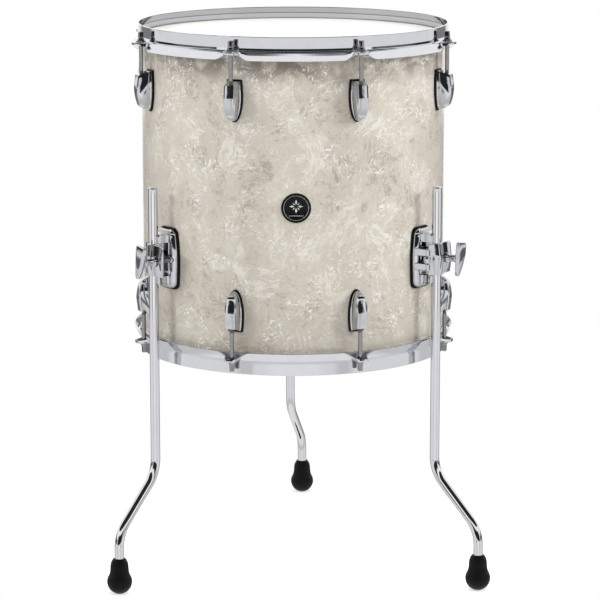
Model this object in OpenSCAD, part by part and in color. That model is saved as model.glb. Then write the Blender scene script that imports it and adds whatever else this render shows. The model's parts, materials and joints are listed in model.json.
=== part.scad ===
// Floor tom: a wrapped wooden shell with two heads, stamped hoops, sixteen
// tension rods in cast lugs, and three bent legs held in hinged clamp brackets.
// Millimetres, +Z up, the badge faces -Y. The origin is on the floor, on the
// axis of the shell. Angles run from -Y towards +X.

/* [Shell] */
// Outside diameter of the bare wooden shell
shell_od = 405; // [380:1:430]
// Length of the shell between its bearing edges
shell_len = 407; // [350:1:460]
// Thickness of the plywood wall
shell_wall = 7.2; // [5:0.1:10]
// Height of the lower bearing edge above the floor
shell_z = 310; // [250:1:380]
// Thickness of the pearl wrap
wrap_t = 0.7; // [0.4:0.1:1.5]
// Diameter of the round badge
badge_d = 38.6; // [30:0.1:50]
// Height of the badge centre above the floor
badge_z = 513.5; // [450:0.5:560]

/* [Heads and hoops] */
// Thickness of the head film
film_t = 0.4; // [0.25:0.05:0.6]
// Outside radius of the upright wall of a hoop
hoop_r = 207.7; // [205:0.1:212]
// Thickness of the hoop metal
hoop_t = 2.1; // [1.6:0.1:3]
// Height of the hoop rim above the bearing edge
rim_over = 16; // [10:0.5:22]
// Outside radius of the free edge of the hoop skirt
skirt_r = 216.6; // [211:0.1:222]
// Depth of the hoop skirt beyond the bearing edge
skirt_drop = 14; // [8:0.5:20]
// Reach of a hoop ear from the axis
ear_reach = 228; // [224:0.5:234]
// Width of a hoop ear at its tip
ear_w = 25; // [18:0.5:34]

/* [Lugs and rods] */
// Number of lugs round each end
lug_count = 8; // [6:1:10]
// Distance of a tension rod from the axis of the shell
rod_rho = 217; // [214:0.5:222]
// Diameter of a tension rod
rod_d = 5.6; // [4.8:0.1:6.5]
// Length of a lug
lug_h = 52; // [40:1:70]
// Width of a lug
lug_w = 20; // [18:0.5:30]
// Height of a lug off the shell
lug_proud = 19.3; // [14:0.1:24]
// Distance from a bearing edge to the middle of its lug
lug_inset = 67; // [50:0.5:90]
// Thickness of the black gaskets
gasket_t = 3; // [0.8:0.1:4]

/* [Leg brackets] */
// Angle of the two front brackets from the badge
bracket_angle = 54; // [40:1:70]
// Height of the bracket centre above the floor
bracket_z = 434.5; // [380:0.5:500]
// Length of a bracket
bracket_h = 78; // [60:1:100]
// Width of a bracket
bracket_w = 41; // [30:1:50]
// Height of the hinged jaw
jaw_h = 42; // [30:1:60]
// Length of the wing on the wing nut
wing_len = 47; // [30:1:60]
// Width of the wing on the wing nut
wing_w = 16; // [10:0.5:22]
// Lean of each wing from upright, in degrees, for left, right and rear
wing_lean = [24, 4, 12]; // [0:1:90]

/* [Legs] */
// Diameter of a leg
leg_d = 12.7; // [9:0.1:16]
// Height of the top end of a leg above the floor
leg_top = 530; // [480:1:620]
// Distance of the straight part of a leg from the shell axis
leg_rho = 229; // [226:0.5:236]
// Sideways offset of the foot from the straight part
leg_offset = 78.5; // [40:0.5:120]
// Height where the first bend starts
bend_z = 167.7; // [120:0.1:220]
// Centreline radius of both bends
bend_r = 44; // [25:1:60]
// Angle of both bends
bend_a = 49.5; // [30:0.5:70]
// Direction each foot points in, for left, right and rear
foot_dir = [-36.6, 44.3, 166.2]; // [-180:0.1:180]
// Greatest diameter of a rubber foot
foot_d = 33; // [24:0.5:44]
// Height of a rubber foot
foot_h = 47.5; // [30:0.5:60]

/* [Hidden] */
$fn = 64;
eps = 0.01;
fit_gap = 0.05;

shell_r = shell_od / 2;
shell_top = shell_z + shell_len;
shell_mid = shell_z + shell_len / 2;
skin_r = shell_r + wrap_t;
film_r = skin_r + 0.3;
ring_in = film_r + film_t;
ring_out = 208.4;
step_over = -5.3;
lug_pitch = 360 / lug_count;
lug_screw_z = [-13, 9];
lug_screw_r = 2;
lug_screw_in = 4.5;
lug_seat = gasket_t + skin_r;
lug_rim = 1;
bracket_rim = 1.8;
nut_r = 4.6;
nut_bore = rod_d / 2 + fit_gap;
nut_len = 17;
nose_z = 20.5;
rod_grip = 23;
washer_t = 1.4;
collar_h = 3.4;
head_w = 5.8;
head_h = 8.6;
ear_z = step_over + hoop_t + 0.9;
leg_r = leg_d / 2;
leg_w = leg_rho - skin_r;
leg_bore = leg_r + fit_gap;
pin_u = -15;
pin_w = 21;
pin_r = 1.75;
pin_len = 29;
knuckle_r = 5;
knuckle_h = 9.2;
bolt_u = 14;
bolt_r = 3;
bolt_end = 49;
jaw_split = 25;
ear_w_out = 33;
ear_w_in = 28;
ear_u = 6.8;
wing_washer_t = 1.4;
barrel_r = 5.3;
barrel_end = 52;
wing_t = 4.5;
split_gap = 0.7;
jaw_open = 4.8;
bend_run = (leg_offset - 2 * bend_r * (1 - cos(bend_a))) / sin(bend_a);
bend_end_z = bend_z - 2 * bend_r * sin(bend_a) - bend_run * cos(bend_a);
bracket_screw_z = [-30, 30];
bracket_screw_u = [-8, 8];
bracket_screw_r = 2.4;
bracket_screw_in = 8;
bracket_at = [-bracket_angle, bracket_angle, 180];

chrome_c = [0.80, 0.80, 0.82];
black_c = [0.06, 0.06, 0.06];
white_c = [0.94, 0.94, 0.93];
wood_c = [0.72, 0.56, 0.38];
pearl_c = [0.80, 0.77, 0.72];
steel_c = [0.62, 0.62, 0.64];

// ---- placing helpers --------------------------------------------------

// Turns children drawn at the front (-Y) to angle a round the shell.
module around(a) {
  rotate([0, 0, a]) children();
}

// Copies children to every lug position of one end.
module each_lug() {
  for (i = [0 : lug_count - 1]) around((i + 0.5) * lug_pitch) children();
}

// Mirrors children drawn for the top end to the bottom end.
module to_bottom() {
  translate([0, 0, 2 * shell_mid]) mirror([0, 0, 1]) children();
}

// Maps a drawing with x across, y up into the plane facing outwards, and
// extrudes it outwards from distance r0 to r1 from the shell axis.
module outwards(r0, r1) {
  translate([0, -r0, 0]) rotate([90, 0, 0]) linear_extrude(height = r1 - r0) children();
}

// Maps a drawing with x outwards and y up into the radial plane and
// extrudes it to width w, centred.
module sideways(w) {
  translate([-w / 2, 0, 0]) rotate([90, 0, -90]) mirror([0, 0, 1])
    linear_extrude(height = w) children();
}

// A cylinder pointing outwards from distance r0 to r1.
module bar_out(r0, r1, r) {
  translate([0, -r0, 0]) rotate([90, 0, 0]) cylinder(h = r1 - r0, r = r);
}

// ---- shell ------------------------------------------------------------

// Holes for the screws that hold the lugs and the brackets.
module screw_holes(r_in, r_out, extra) {
  for (end = [shell_top - lug_inset, shell_z + lug_inset])
    for (s = lug_screw_z)
      each_lug() translate([0, 0, end + (end > shell_mid ? s : -s)])
        bar_out(r_in, r_out, lug_screw_r + extra);
  for (a = bracket_at) around(a)
    for (u = bracket_screw_u, z = bracket_screw_z)
      translate([u, 0, bracket_z + z]) bar_out(r_in, r_out, bracket_screw_r + extra);
}

module shell() {
  color(wood_c) difference() {
    rotate_extrude($fn = 128) polygon([
      [shell_r - shell_wall, shell_z + 5], [shell_r - 2.6, shell_z], [shell_r, shell_z + 4],
      [shell_r, shell_top - 4], [shell_r - 2.6, shell_top], [shell_r - shell_wall, shell_top - 5]
    ]);
    screw_holes(shell_r - 15, shell_r + 5, 0.2);
  }
}

module pearl_wrap() {
  color(pearl_c) difference() {
    translate([0, 0, shell_z + 5]) cylinder(h = shell_len - 10, r = skin_r, $fn = 128);
    translate([0, 0, shell_z]) cylinder(h = shell_len, r = shell_r, $fn = 128);
    screw_holes(shell_r - 5, shell_r + 5, 0.2);
  }
}

// A round badge seated on the shell: a disc with a raised ring and a plain
// raised diamond in the middle.
module badge() {
  r = badge_d / 2;
  ring = r - 3.4;
  face = 1.3;
  relief = 0.4;
  color(black_c) translate([0, 0, badge_z]) difference() {
    union() {
      translate([0, -skin_r, 0]) rotate([90, 0, 0]) rotate_extrude($fn = 96) polygon([
        [0, -3], [r, -3], [r, face - 0.3], [r - 0.3, face], [ring + 0.6, face],
        [ring + 0.4, face + relief], [ring - 0.4, face + relief], [ring - 0.6, face], [0, face]
      ]);
      outwards(skin_r, skin_r + face + relief) rotate(45) square(9, center = true);
    }
    translate([0, 0, -badge_d]) cylinder(h = 2 * badge_d, r = skin_r, $fn = 720);
  }
}

// ---- heads and hoops, drawn for the top end ----------------------------

module head_film() {
  t = shell_top;
  rotate_extrude($fn = 128) polygon([
    [0, t], [shell_r - 2.3, t], [film_r - 0.7, t - 1.6], [film_r, t - 4],
    [film_r, t - 11], [ring_in, t - 11],
    [ring_in, t - 4], [ring_in - 0.7, t - 1.2],
    [shell_r - 2.1, t + film_t], [0, t + film_t]
  ]);
}

module flesh_hoop() {
  t = shell_top;
  rotate_extrude($fn = 128) polygon([
    [ring_in, t - 12], [ring_out - 1, t - 12], [ring_out, t - 11],
    [ring_out, t + step_over - 1], [ring_out - 1, t + step_over], [ring_in, t + step_over]
  ]);
}

// The turned section of a hoop: rolled rim, upright wall, step and skirt.
module hoop_section() {
  t = shell_top;
  s = t + step_over;
  wall_in = hoop_r - hoop_t;
  polygon([
    [wall_in, t + rim_over - 0.8], [wall_in + 0.7, t + rim_over],
    [hoop_r - 0.7, t + rim_over], [hoop_r, t + rim_over - 0.8],
    [hoop_r, s + hoop_t + 2.2], [hoop_r + 0.6, s + hoop_t + 0.9], [hoop_r + 2, s + hoop_t + 0.3],
    [hoop_r + 4.2, s + hoop_t - 0.2], [hoop_r + 5.6, s + hoop_t - 1.6],
    [skirt_r, t - skirt_drop], [skirt_r - hoop_t, t - skirt_drop],
    [hoop_r + 3.4, s - 1.2], [hoop_r + 2.4, s], [wall_in, s]
  ]);
}

// The opening under an ear, where the skirt is turned outwards.
module skirt_arch() {
  t = shell_top;
  translate([0, 0, t + step_over]) outwards(hoop_r + 1.8, ear_reach + 5) polygon([
    [-ear_w * 0.92, -12], [-ear_w * 0.72, -6.5], [-ear_w * 0.5, -1.6], [-ear_w * 0.36, 0],
    [ear_w * 0.36, 0], [ear_w * 0.5, -1.6], [ear_w * 0.72, -6.5], [ear_w * 0.92, -12]
  ]);
}

// One ear: a plate wide at the step and rounded at the tip, with folded
// cheeks running down to the skirt on both sides.
module hoop_ear() {
  t = shell_top;
  root = hoop_r + 1.5;
  tip_r = 8;
  translate([0, 0, t + step_over]) difference() {
    union() {
      linear_extrude(height = hoop_t + 0.9) union() {
        polygon([
          [-ear_w * 0.74, -root], [-ear_w * 0.52, -root - 6], [-ear_w / 2, -ear_reach + tip_r],
          [ear_w / 2, -ear_reach + tip_r], [ear_w * 0.52, -root - 6], [ear_w * 0.74, -root]
        ]);
        for (s = [-1, 1]) translate([s * (ear_w / 2 - tip_r), -ear_reach + tip_r]) circle(r = tip_r);
        translate([-ear_w / 2 + tip_r, -ear_reach]) square([ear_w - 2 * tip_r, tip_r]);
      }
      for (s = [-1, 1]) translate([s * ear_w * 0.5, -hoop_r - 5.5, 0]) rotate([0, 0, s * 24])
        rotate([90, 0, 0]) linear_extrude(height = hoop_t) polygon([
          [0, 2.2], [s * 4, 2.2], [s * 11.5, -1], [s * 11.5, -8.4], [s * 6.2, -7.6], [s * 2, -1.6], [0, 0]
        ]);
    }
    translate([0, -rod_rho, -1]) cylinder(h = hoop_t + 3, r = rod_d / 2 + 0.9);
  }
}

module hoop() {
  difference() {
    rotate_extrude($fn = 128) hoop_section();
    each_lug() skirt_arch();
  }
  each_lug() hoop_ear();
}

module batter_film() { color(white_c) head_film(); }
module resonant_film() { color(white_c) to_bottom() head_film(); }
module batter_flesh_hoop() { color(steel_c) flesh_hoop(); }
module resonant_flesh_hoop() { color(steel_c) to_bottom() flesh_hoop(); }
module batter_hoop() { color(chrome_c) hoop(); }
module resonant_hoop() { color(chrome_c) to_bottom() hoop(); }

// ---- lugs, drawn at the front of the top end ---------------------------

// Outline of a lug seen from outside: square end up, rounded point down.
module lug_outline(grow) {
  w = lug_w / 2 + grow;
  h = lug_h / 2 + grow;
  polygon(concat(
    [[-w * 0.86, h], [w * 0.86, h]],
    [for (i = [0 : 12]) let (q = i / 12) [w * (1 - 0.14 * pow(1 - q, 2)) , h * (1 - q * 0.75)]],
    [for (i = [1 : 24]) let (q = i / 24 * 90) [w * cos(q), h * (0.25 - 1.25 * sin(q))]],
    [for (i = [23 : -1 : 1]) let (q = i / 24 * 90) [-w * cos(q), h * (0.25 - 1.25 * sin(q))]],
    [for (i = [12 : -1 : 0]) let (q = i / 12) [-w * (1 - 0.14 * pow(1 - q, 2)), h * (1 - q * 0.75)]]
  ));
}

// Side view of a lug: x is the height off the gasket, y is up.
module lug_profile() {
  p = lug_proud;
  h = lug_h / 2;
  polygon(concat(
    [[-6, h], [2, h], [p - 3.4, nose_z + 1], [p - 2.6, nose_z], [p - 0.6, nose_z], [p, nose_z - 0.8]],
    [for (i = [0 : 16]) let (q = i / 16) [p - (p - 1.5) * pow(q, 2.6), (nose_z - 6) - q * (h + nose_z - 6)]],
    [[-6, -h]]
  ));
}

// Cross-section of a lug: x is across, y is the height off the gasket.
module lug_section() {
  w = lug_w / 2;
  p = lug_proud;
  polygon([
    [-w, -6], [-w, 1.6], [-w + 0.5, 3.4], [-8, p - 8], [-7.2, p - 4.4], [-6, p - 1.8], [-4, p - 0.5],
    [0, p], [4, p - 0.5], [6, p - 1.8], [7.2, p - 4.4], [8, p - 8], [w - 0.5, 3.4], [w, 1.6], [w, -6]
  ]);
}

module lug_casing() {
  z0 = shell_top - lug_inset;
  translate([0, 0, z0]) difference() {
    intersection() {
      outwards(lug_seat - 5, lug_seat + lug_proud + 1) lug_outline(0);
      translate([0, -lug_seat, 0]) sideways(lug_w + 2) lug_profile();
      translate([0, -lug_seat, -lug_h / 2]) mirror([0, 1, 0]) linear_extrude(height = lug_h) lug_section();
    }
    translate([0, 0, -lug_h]) cylinder(h = 2 * lug_h, r = lug_seat, $fn = 128);
    translate([0, -rod_rho, nose_z - nut_len + 0.8]) cylinder(h = 60, r = nut_r + fit_gap);
    translate([0, -rod_rho, nose_z - rod_grip - 1.5]) cylinder(h = 60, r = rod_d / 2 + 0.4);
    for (s = lug_screw_z) translate([0, 0, s]) bar_out(lug_seat - 2, lug_seat + lug_screw_in + 1, lug_screw_r);
  }
}

module lug_gasket() {
  difference() {
    outwards(skin_r - 5, skin_r + 6) lug_outline(lug_rim);
    translate([0, 0, -lug_h]) cylinder(h = 2 * lug_h, r = skin_r, $fn = 128);
    translate([0, 0, -lug_h]) difference() {
      cylinder(h = 2 * lug_h, r = skin_r + 20);
      translate([0, 0, -1]) cylinder(h = 2 * lug_h + 2, r = lug_seat, $fn = 128);
    }
    for (s = lug_screw_z) translate([0, 0, s]) bar_out(skin_r - 6, skin_r + 7, lug_screw_r + 0.2);
  }
}

module swivel_nut() {
  translate([0, -rod_rho, shell_top - lug_inset + nose_z + 1.3 - nut_len]) difference() {
    cylinder(h = nut_len, r = nut_r);
    translate([0, 0, -1]) cylinder(h = nut_len + 2, r = nut_bore);
  }
}

// Outer face of a washer inside the shell whose far edge lies u across.
function washer_face(u) = sqrt(pow(shell_r - shell_wall, 2) - u * u) - 0.05;

// A pan-head screw pointing outwards from inside the shell, at height 0.
module inner_screw(r, reach, u = 0) {
  seat = washer_face(u + 2.4 * r) - washer_t;
  bar_out(seat - 2.4, seat, 2 * r);
  bar_out(seat - eps, lug_seat + reach, r);
}

module inner_washer(r, u = 0) {
  seat = washer_face(u + 2.4 * r) - washer_t;
  difference() {
    bar_out(seat, seat + washer_t, 2.4 * r);
    bar_out(seat - 1, seat + washer_t + 1, r + 0.2);
  }
}

module lug_screw_set(washers) {
  for (s = lug_screw_z) translate([0, 0, shell_top - lug_inset + s])
    if (washers) inner_washer(lug_screw_r); else inner_screw(lug_screw_r, lug_screw_in);
}

module lug_casings_top() { color(chrome_c) each_lug() lug_casing(); }
module lug_casings_bottom() { color(chrome_c) to_bottom() each_lug() lug_casing(); }

module lug_gaskets() {
  color(black_c) {
    each_lug() translate([0, 0, shell_top - lug_inset]) lug_gasket();
    to_bottom() each_lug() translate([0, 0, shell_top - lug_inset]) lug_gasket();
  }
}

module lug_swivel_nuts() {
  color(steel_c) { each_lug() swivel_nut(); to_bottom() each_lug() swivel_nut(); }
}

module lug_screws() {
  color(steel_c) { each_lug() lug_screw_set(false); to_bottom() each_lug() lug_screw_set(false); }
}

module lug_screw_washers() {
  color(steel_c) { each_lug() lug_screw_set(true); to_bottom() each_lug() lug_screw_set(true); }
}

// ---- tension rods, drawn at the front of the top end -------------------

module rod_washer() {
  translate([0, -rod_rho, shell_top + ear_z]) difference() {
    cylinder(h = washer_t, r = 6.4);
    translate([0, 0, -1]) cylinder(h = washer_t + 2, r = rod_d / 2 + 0.3);
  }
}

// Round shank, round collar and a square head for a drum key.
module tension_rod() {
  seat = shell_top + ear_z + washer_t + 0.1;
  tip = shell_top - lug_inset + nose_z - rod_grip;
  translate([0, -rod_rho, 0]) {
    translate([0, 0, tip + 1]) cylinder(h = seat - tip - 1 + eps, r = rod_d / 2);
    translate([0, 0, tip]) cylinder(h = 1 + eps, r1 = rod_d / 2 - 0.9, r2 = rod_d / 2);
    translate([0, 0, seat]) cylinder(h = collar_h, r = 4.8);
    intersection() {
      translate([-head_w / 2, -head_w / 2, seat + collar_h - eps]) cube([head_w, head_w, head_h]);
      translate([0, 0, seat + collar_h - 1]) cylinder(h = head_h + 1, r = head_w * 0.66);
    }
  }
}

module rod_top(i) { color(chrome_c) around((i - 0.5) * lug_pitch) tension_rod(); }
module rod_bottom(i) { color(chrome_c) to_bottom() around((i - 0.5) * lug_pitch) tension_rod(); }
module rod_washers_top() { color(chrome_c) each_lug() rod_washer(); }
module rod_washers_bottom() { color(chrome_c) to_bottom() each_lug() rod_washer(); }

// ---- leg brackets, drawn at the front ---------------------------------

// Outline of a bracket seen from outside, grown by g. It is widest in the
// middle and narrowest at the top.
module bracket_outline(g) {
  r = 9;
  w = bracket_w / 2 + g;
  h = bracket_h / 2 + g;
  top = w - 2.5;
  low = w - 1.2;
  for (s = [-1, 1]) {
    translate([s * (top - r), h - r]) circle(r = r);
    translate([s * (low - r), r - h]) circle(r = r);
  }
  polygon([[-top, h - r], [-w, 0], [-low, r - h], [low, r - h], [w, 0], [top, h - r]]);
  translate([r - top, h - r]) square([2 * (top - r), r]);
  translate([r - low, -h]) square([2 * (low - r), r]);
}

// Cross-section of the bracket casting at its ends: a flange that rises in
// a slope to the saddle round the inner half of the leg.
module bracket_section() {
  w = bracket_w / 2;
  p = leg_w - gasket_t - split_gap;
  polygon([
    [-w, -8], [-w, 1.4], [-w + 1.4, 3.8], [-w + 4.5, 6.1], [-12.6, 6.4], [-10.4, 9.6], [-9.8, p - 2], [-8.6, p],
    [8.6, p], [9.8, p - 2], [10.4, 9.6], [12.6, 6.4],
    [w - 4.5, 6.1], [w - 1.4, 3.8], [w, 1.4], [w, -8]
  ]);
}

// Side view of the casting: ends slope down to the flange.
module bracket_profile() {
  h = bracket_h / 2;
  p = leg_w;
  polygon([
    [-8, h], [1.6, h], [4.6, h - 2.2], [9, h - 4.4], [p - 4, h - 5.4], [p, h - 7],
    [p, 7 - h], [p - 4, 5.4 - h], [9, 4.4 - h], [4.6, 2.2 - h], [1.6, -h], [-8, -h]
  ]);
}

module bracket_base() {
  seat = lug_seat;
  translate([0, 0, bracket_z]) difference() {
    union() {
      difference() {
        intersection() {
          outwards(seat - 6, seat + leg_w) bracket_outline(0);
          translate([0, -seat, 0]) sideways(bracket_w + 2) bracket_profile();
          translate([0, -seat, -bracket_h / 2]) mirror([0, 1, 0])
            linear_extrude(height = bracket_h) bracket_section();
        }
        translate([-bracket_w, -seat - leg_w, -jaw_h / 2 - 0.6])
          cube([2 * bracket_w, leg_w - 7, jaw_h + 1.2]);
      }
      translate([-6.2, -skin_r - leg_w + split_gap, -jaw_h / 2 - 1]) cube([12.4, leg_w - 6, jaw_h + 2]);
      translate([bolt_u, 0, 0]) bar_out(seat + 2, seat + 14, 6);
      for (s = [-1, 1]) translate([pin_u, -skin_r - pin_w, s * (knuckle_h + 0.5)]) {
        translate([0, 0, -knuckle_h / 2]) cylinder(h = knuckle_h, r = knuckle_r);
        translate([-knuckle_r, 0, -knuckle_h / 2]) cube([2 * knuckle_r, 15, knuckle_h]);
      }
    }
    translate([0, 0, -bracket_h]) cylinder(h = 2 * bracket_h, r = seat, $fn = 128);
    translate([0, -leg_rho, -bracket_h]) cylinder(h = 2 * bracket_h, r = leg_bore);
    translate([bolt_u, 0, 0]) bar_out(seat + 2, seat + 30, bolt_r);
    translate([bolt_u, 0, 0]) bar_out(seat - 3, seat + 5.5, 5.6);
    translate([pin_u, -skin_r - pin_w, -pin_len]) cylinder(h = 2 * pin_len, r = pin_r);
    for (u = bracket_screw_u, z = bracket_screw_z)
      translate([u, 0, z]) bar_out(seat - 3, seat + bracket_screw_in + 1, bracket_screw_r);
  }
}

module bracket_gasket() {
  difference() {
    outwards(skin_r - 5, skin_r + 6) bracket_outline(bracket_rim);
    translate([0, 0, -bracket_h]) cylinder(h = 2 * bracket_h, r = skin_r, $fn = 128);
    translate([0, 0, -bracket_h]) difference() {
      cylinder(h = 2 * bracket_h, r = skin_r + 20);
      translate([0, 0, -1]) cylinder(h = 2 * bracket_h + 2, r = lug_seat, $fn = 128);
    }
    for (u = bracket_screw_u, z = bracket_screw_z)
      translate([u, 0, z]) bar_out(skin_r - 6, skin_r + 7, bracket_screw_r + 0.2);
  }
}

module hinge_pin() {
  translate([pin_u, -skin_r - pin_w, bracket_z - pin_len / 2]) cylinder(h = pin_len, r = pin_r);
}

// The clamp bolt: its head sits in the back of the casting.
module clamp_bolt() {
  translate([bolt_u, 0, bracket_z]) {
    bar_out(lug_seat + 1.5, lug_seat + 5.5, 5.4);
    bar_out(lug_seat + 5.5 - eps, skin_r + bolt_end, bolt_r);
  }
}

// The jaw: a knuckle on the pin, a shell over the outer half of the leg and
// a flat ear with an elongated hole for the clamp bolt.
module clamp_jaw() {
  cap = leg_r + 3.6;
  translate([0, -skin_r, bracket_z]) difference() {
    union() {
      translate([0, 0, -jaw_h / 2]) mirror([0, 1, 0]) linear_extrude(height = jaw_h) difference() {
        union() {
          translate([0, leg_w]) circle(r = cap);
          polygon([[0, ear_w_in], [27, ear_w_in], [27.6, ear_w_in + 1], [27.6, ear_w_out - 1],
                   [27, ear_w_out], [ear_u, ear_w_out], [5, leg_w + 8]]);
          polygon([[-cap, leg_w], [-cap, leg_w - 4], [pin_u - 3.4, pin_w - 1], [pin_u - 3.4, pin_w + 3],
                   [pin_u + 1, pin_w + 5.2], [-6, leg_w + 7.6]]);
        }
        translate([-60, -40]) square([120, 40 + jaw_split]);
      }
      translate([pin_u, -pin_w, -knuckle_h / 2]) cylinder(h = knuckle_h, r = knuckle_r);
      translate([pin_u, -pin_w - 5, -knuckle_h / 2]) cube([8, 5, knuckle_h]);
    }
    for (q = [0, jaw_open]) translate([pin_u, -pin_w, 0]) rotate([0, 0, q])
      translate([-pin_u, pin_w - leg_w, -jaw_h]) cylinder(h = 2 * jaw_h, r = leg_bore);
    translate([-leg_bore, -leg_w, -jaw_h]) cube([2 * leg_bore, 10, 2 * jaw_h]);
    translate([pin_u, -pin_w, -jaw_h]) cylinder(h = 2 * jaw_h, r = pin_r + fit_gap);
    for (s = [-1, 1]) translate([pin_u, -pin_w, s * (knuckle_h + 0.5) - knuckle_h / 2 - 0.35])
      cylinder(h = knuckle_h + 0.7, r = knuckle_r + 0.5);
    translate([bolt_u, -ear_w_out - 3, 0]) rotate([-90, 0, 0]) linear_extrude(height = 12)
      union() {
        for (s = [-0.6, 1.4]) translate([s, 0]) circle(r = bolt_r + 0.3);
        translate([-0.6, -bolt_r - 0.3]) square([2, 2 * bolt_r + 0.6]);
      }
  }
}

module wing_washer() {
  translate([bolt_u, 0, bracket_z]) difference() {
    bar_out(skin_r + ear_w_out + 0.1, skin_r + ear_w_out + 0.1 + wing_washer_t, 7);
    bar_out(skin_r + ear_w_out - 1, skin_r + ear_w_out + 4, bolt_r + 0.2);
  }
}

// The wing nut: a barrel with a blind bore and a flat rounded wing across
// its outer end.
module wing_nut(k) {
  start = skin_r + ear_w_out + wing_washer_t + 0.2;
  translate([bolt_u, 0, bracket_z]) difference() {
    union() {
      bar_out(start, start + 2, barrel_r + 1);
      bar_out(start, skin_r + barrel_end + 1, barrel_r);
      rotate([0, wing_lean[k], 0])
        outwards(skin_r + barrel_end, skin_r + barrel_end + wing_t) union() {
          for (s = [-1, 1]) translate([0, s * (wing_len - wing_w * 0.7) / 2]) circle(r = wing_w * 0.35);
          polygon([
            [-wing_w * 0.35, (wing_len - wing_w * 0.7) / 2], [-wing_w / 2, 6], [-wing_w / 2, -6],
            [-wing_w * 0.35, -(wing_len - wing_w * 0.7) / 2], [wing_w * 0.35, -(wing_len - wing_w * 0.7) / 2],
            [wing_w / 2, -6], [wing_w / 2, 6], [wing_w * 0.35, (wing_len - wing_w * 0.7) / 2]
          ]);
        }
    }
    bar_out(start - 1, skin_r + bolt_end + 2, bolt_r + fit_gap);
  }
}

module bracket_screws() {
  color(steel_c) for (a = bracket_at) around(a)
    for (u = bracket_screw_u, z = bracket_screw_z)
      translate([u, 0, bracket_z + z]) inner_screw(bracket_screw_r, bracket_screw_in, abs(u));
}

module bracket_screw_washers() {
  color(steel_c) for (a = bracket_at) around(a)
    for (u = bracket_screw_u, z = bracket_screw_z)
      translate([u, 0, bracket_z + z]) inner_washer(bracket_screw_r, abs(u));
}

module bracket_gaskets() {
  color(black_c) for (a = bracket_at) around(a) translate([0, 0, bracket_z]) bracket_gasket();
}

module hinge_pins() { color(steel_c) for (a = bracket_at) around(a) hinge_pin(); }
module clamp_bolts() { color(steel_c) for (a = bracket_at) around(a) clamp_bolt(); }
module base_at(k) { color(chrome_c) around(bracket_at[k]) bracket_base(); }
module jaw_at(k) { color(chrome_c) around(bracket_at[k]) clamp_jaw(); }
module washer_at(k) { color(chrome_c) around(bracket_at[k]) wing_washer(); }
module wing_at(k) { color(chrome_c) around(bracket_at[k]) wing_nut(k); }

// ---- legs -------------------------------------------------------------

// One bend: an arc of rod that starts at x = bend_r and rises.
module rod_arc() {
  rotate([90, 0, 0]) rotate_extrude(angle = bend_a) translate([bend_r, 0]) circle(r = leg_r);
}

// A leg whose straight part stands on the Z axis and whose foot lies
// towards +X. The straight lengths run a little way into the bends.
module bent_leg() {
  foot_in = 6;
  chamfer = 1.2;
  lap = 0.6;
  r = leg_r - 0.02;
  translate([0, 0, bend_z - lap]) cylinder(h = leg_top - chamfer - bend_z + lap, r = r);
  translate([0, 0, leg_top - chamfer]) cylinder(h = chamfer, r1 = r, r2 = r - chamfer);
  translate([bend_r, 0, bend_z]) rotate([0, 180, 0]) rod_arc();
  translate([bend_r * (1 - cos(bend_a)), 0, bend_z - bend_r * sin(bend_a)])
    rotate([0, 180 - bend_a, 0]) translate([0, 0, -lap]) cylinder(h = bend_run + 2 * lap, r = r);
  translate([leg_offset - bend_r, 0, bend_end_z]) rod_arc();
  translate([leg_offset, 0, foot_in]) cylinder(h = bend_end_z - foot_in + lap, r = r);
}

module rubber_foot() {
  r = foot_d / 2;
  flat = 0.5;
  low = -asin((r - flat) / r);
  translate([leg_offset, 0, 0]) difference() {
    rotate_extrude($fn = 96) polygon(concat(
      [[0, 0]],
      [for (i = [0 : 20]) let (q = low + i * (36 - low) / 20) [r * cos(q), r - flat + r * sin(q)]],
      [[12.6, r + 12.6], [12, r + 16], [11.7, foot_h - 9], [11, foot_h - 5.5],
       [9.6, foot_h - 2.2], [8.2, foot_h], [0, foot_h]]
    ));
    translate([0, 0, 6]) cylinder(h = foot_h, r = leg_r - 0.02);
  }
}

// Places a leg drawing: straight part in its bracket, foot in its direction.
module leg_place(k) {
  a = bracket_at[k];
  translate([leg_rho * sin(a), -leg_rho * cos(a), 0]) rotate([0, 0, foot_dir[k] - 90]) children();
}

module leg_at(k) { color(chrome_c) leg_place(k) bent_leg(); }
module foot_at(k) { color(black_c) leg_place(k) rubber_foot(); }

// ---- the nodes --------------------------------------------------------

shell();
pearl_wrap();
badge();
batter_film();
batter_flesh_hoop();
batter_hoop();
resonant_film();
resonant_flesh_hoop();
resonant_hoop();
lug_casings_top();
lug_casings_bottom();
lug_gaskets();
lug_swivel_nuts();
lug_screws();
lug_screw_washers();
rod_washers_top();
rod_washers_bottom();
rod_top(1);  // rod_top_1
rod_top(2);  // rod_top_2
rod_top(3);  // rod_top_3
rod_top(4);  // rod_top_4
rod_top(5);  // rod_top_5
rod_top(6);  // rod_top_6
rod_top(7);  // rod_top_7
rod_top(8);  // rod_top_8
rod_bottom(1);  // rod_bottom_1
rod_bottom(2);  // rod_bottom_2
rod_bottom(3);  // rod_bottom_3
rod_bottom(4);  // rod_bottom_4
rod_bottom(5);  // rod_bottom_5
rod_bottom(6);  // rod_bottom_6
rod_bottom(7);  // rod_bottom_7
rod_bottom(8);  // rod_bottom_8
base_at(0);  // bracket_base_left
base_at(1);  // bracket_base_right
base_at(2);  // bracket_base_rear
bracket_gaskets();
bracket_screws();
bracket_screw_washers();
hinge_pins();
clamp_bolts();
jaw_at(0);  // clamp_jaw_left
jaw_at(1);  // clamp_jaw_right
jaw_at(2);  // clamp_jaw_rear
washer_at(0);  // wing_washer_left
washer_at(1);  // wing_washer_right
washer_at(2);  // wing_washer_rear
wing_at(0);  // wing_nut_left
wing_at(1);  // wing_nut_right
wing_at(2);  // wing_nut_rear
leg_at(0);  // leg_left
leg_at(1);  // leg_right
leg_at(2);  // leg_rear
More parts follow.
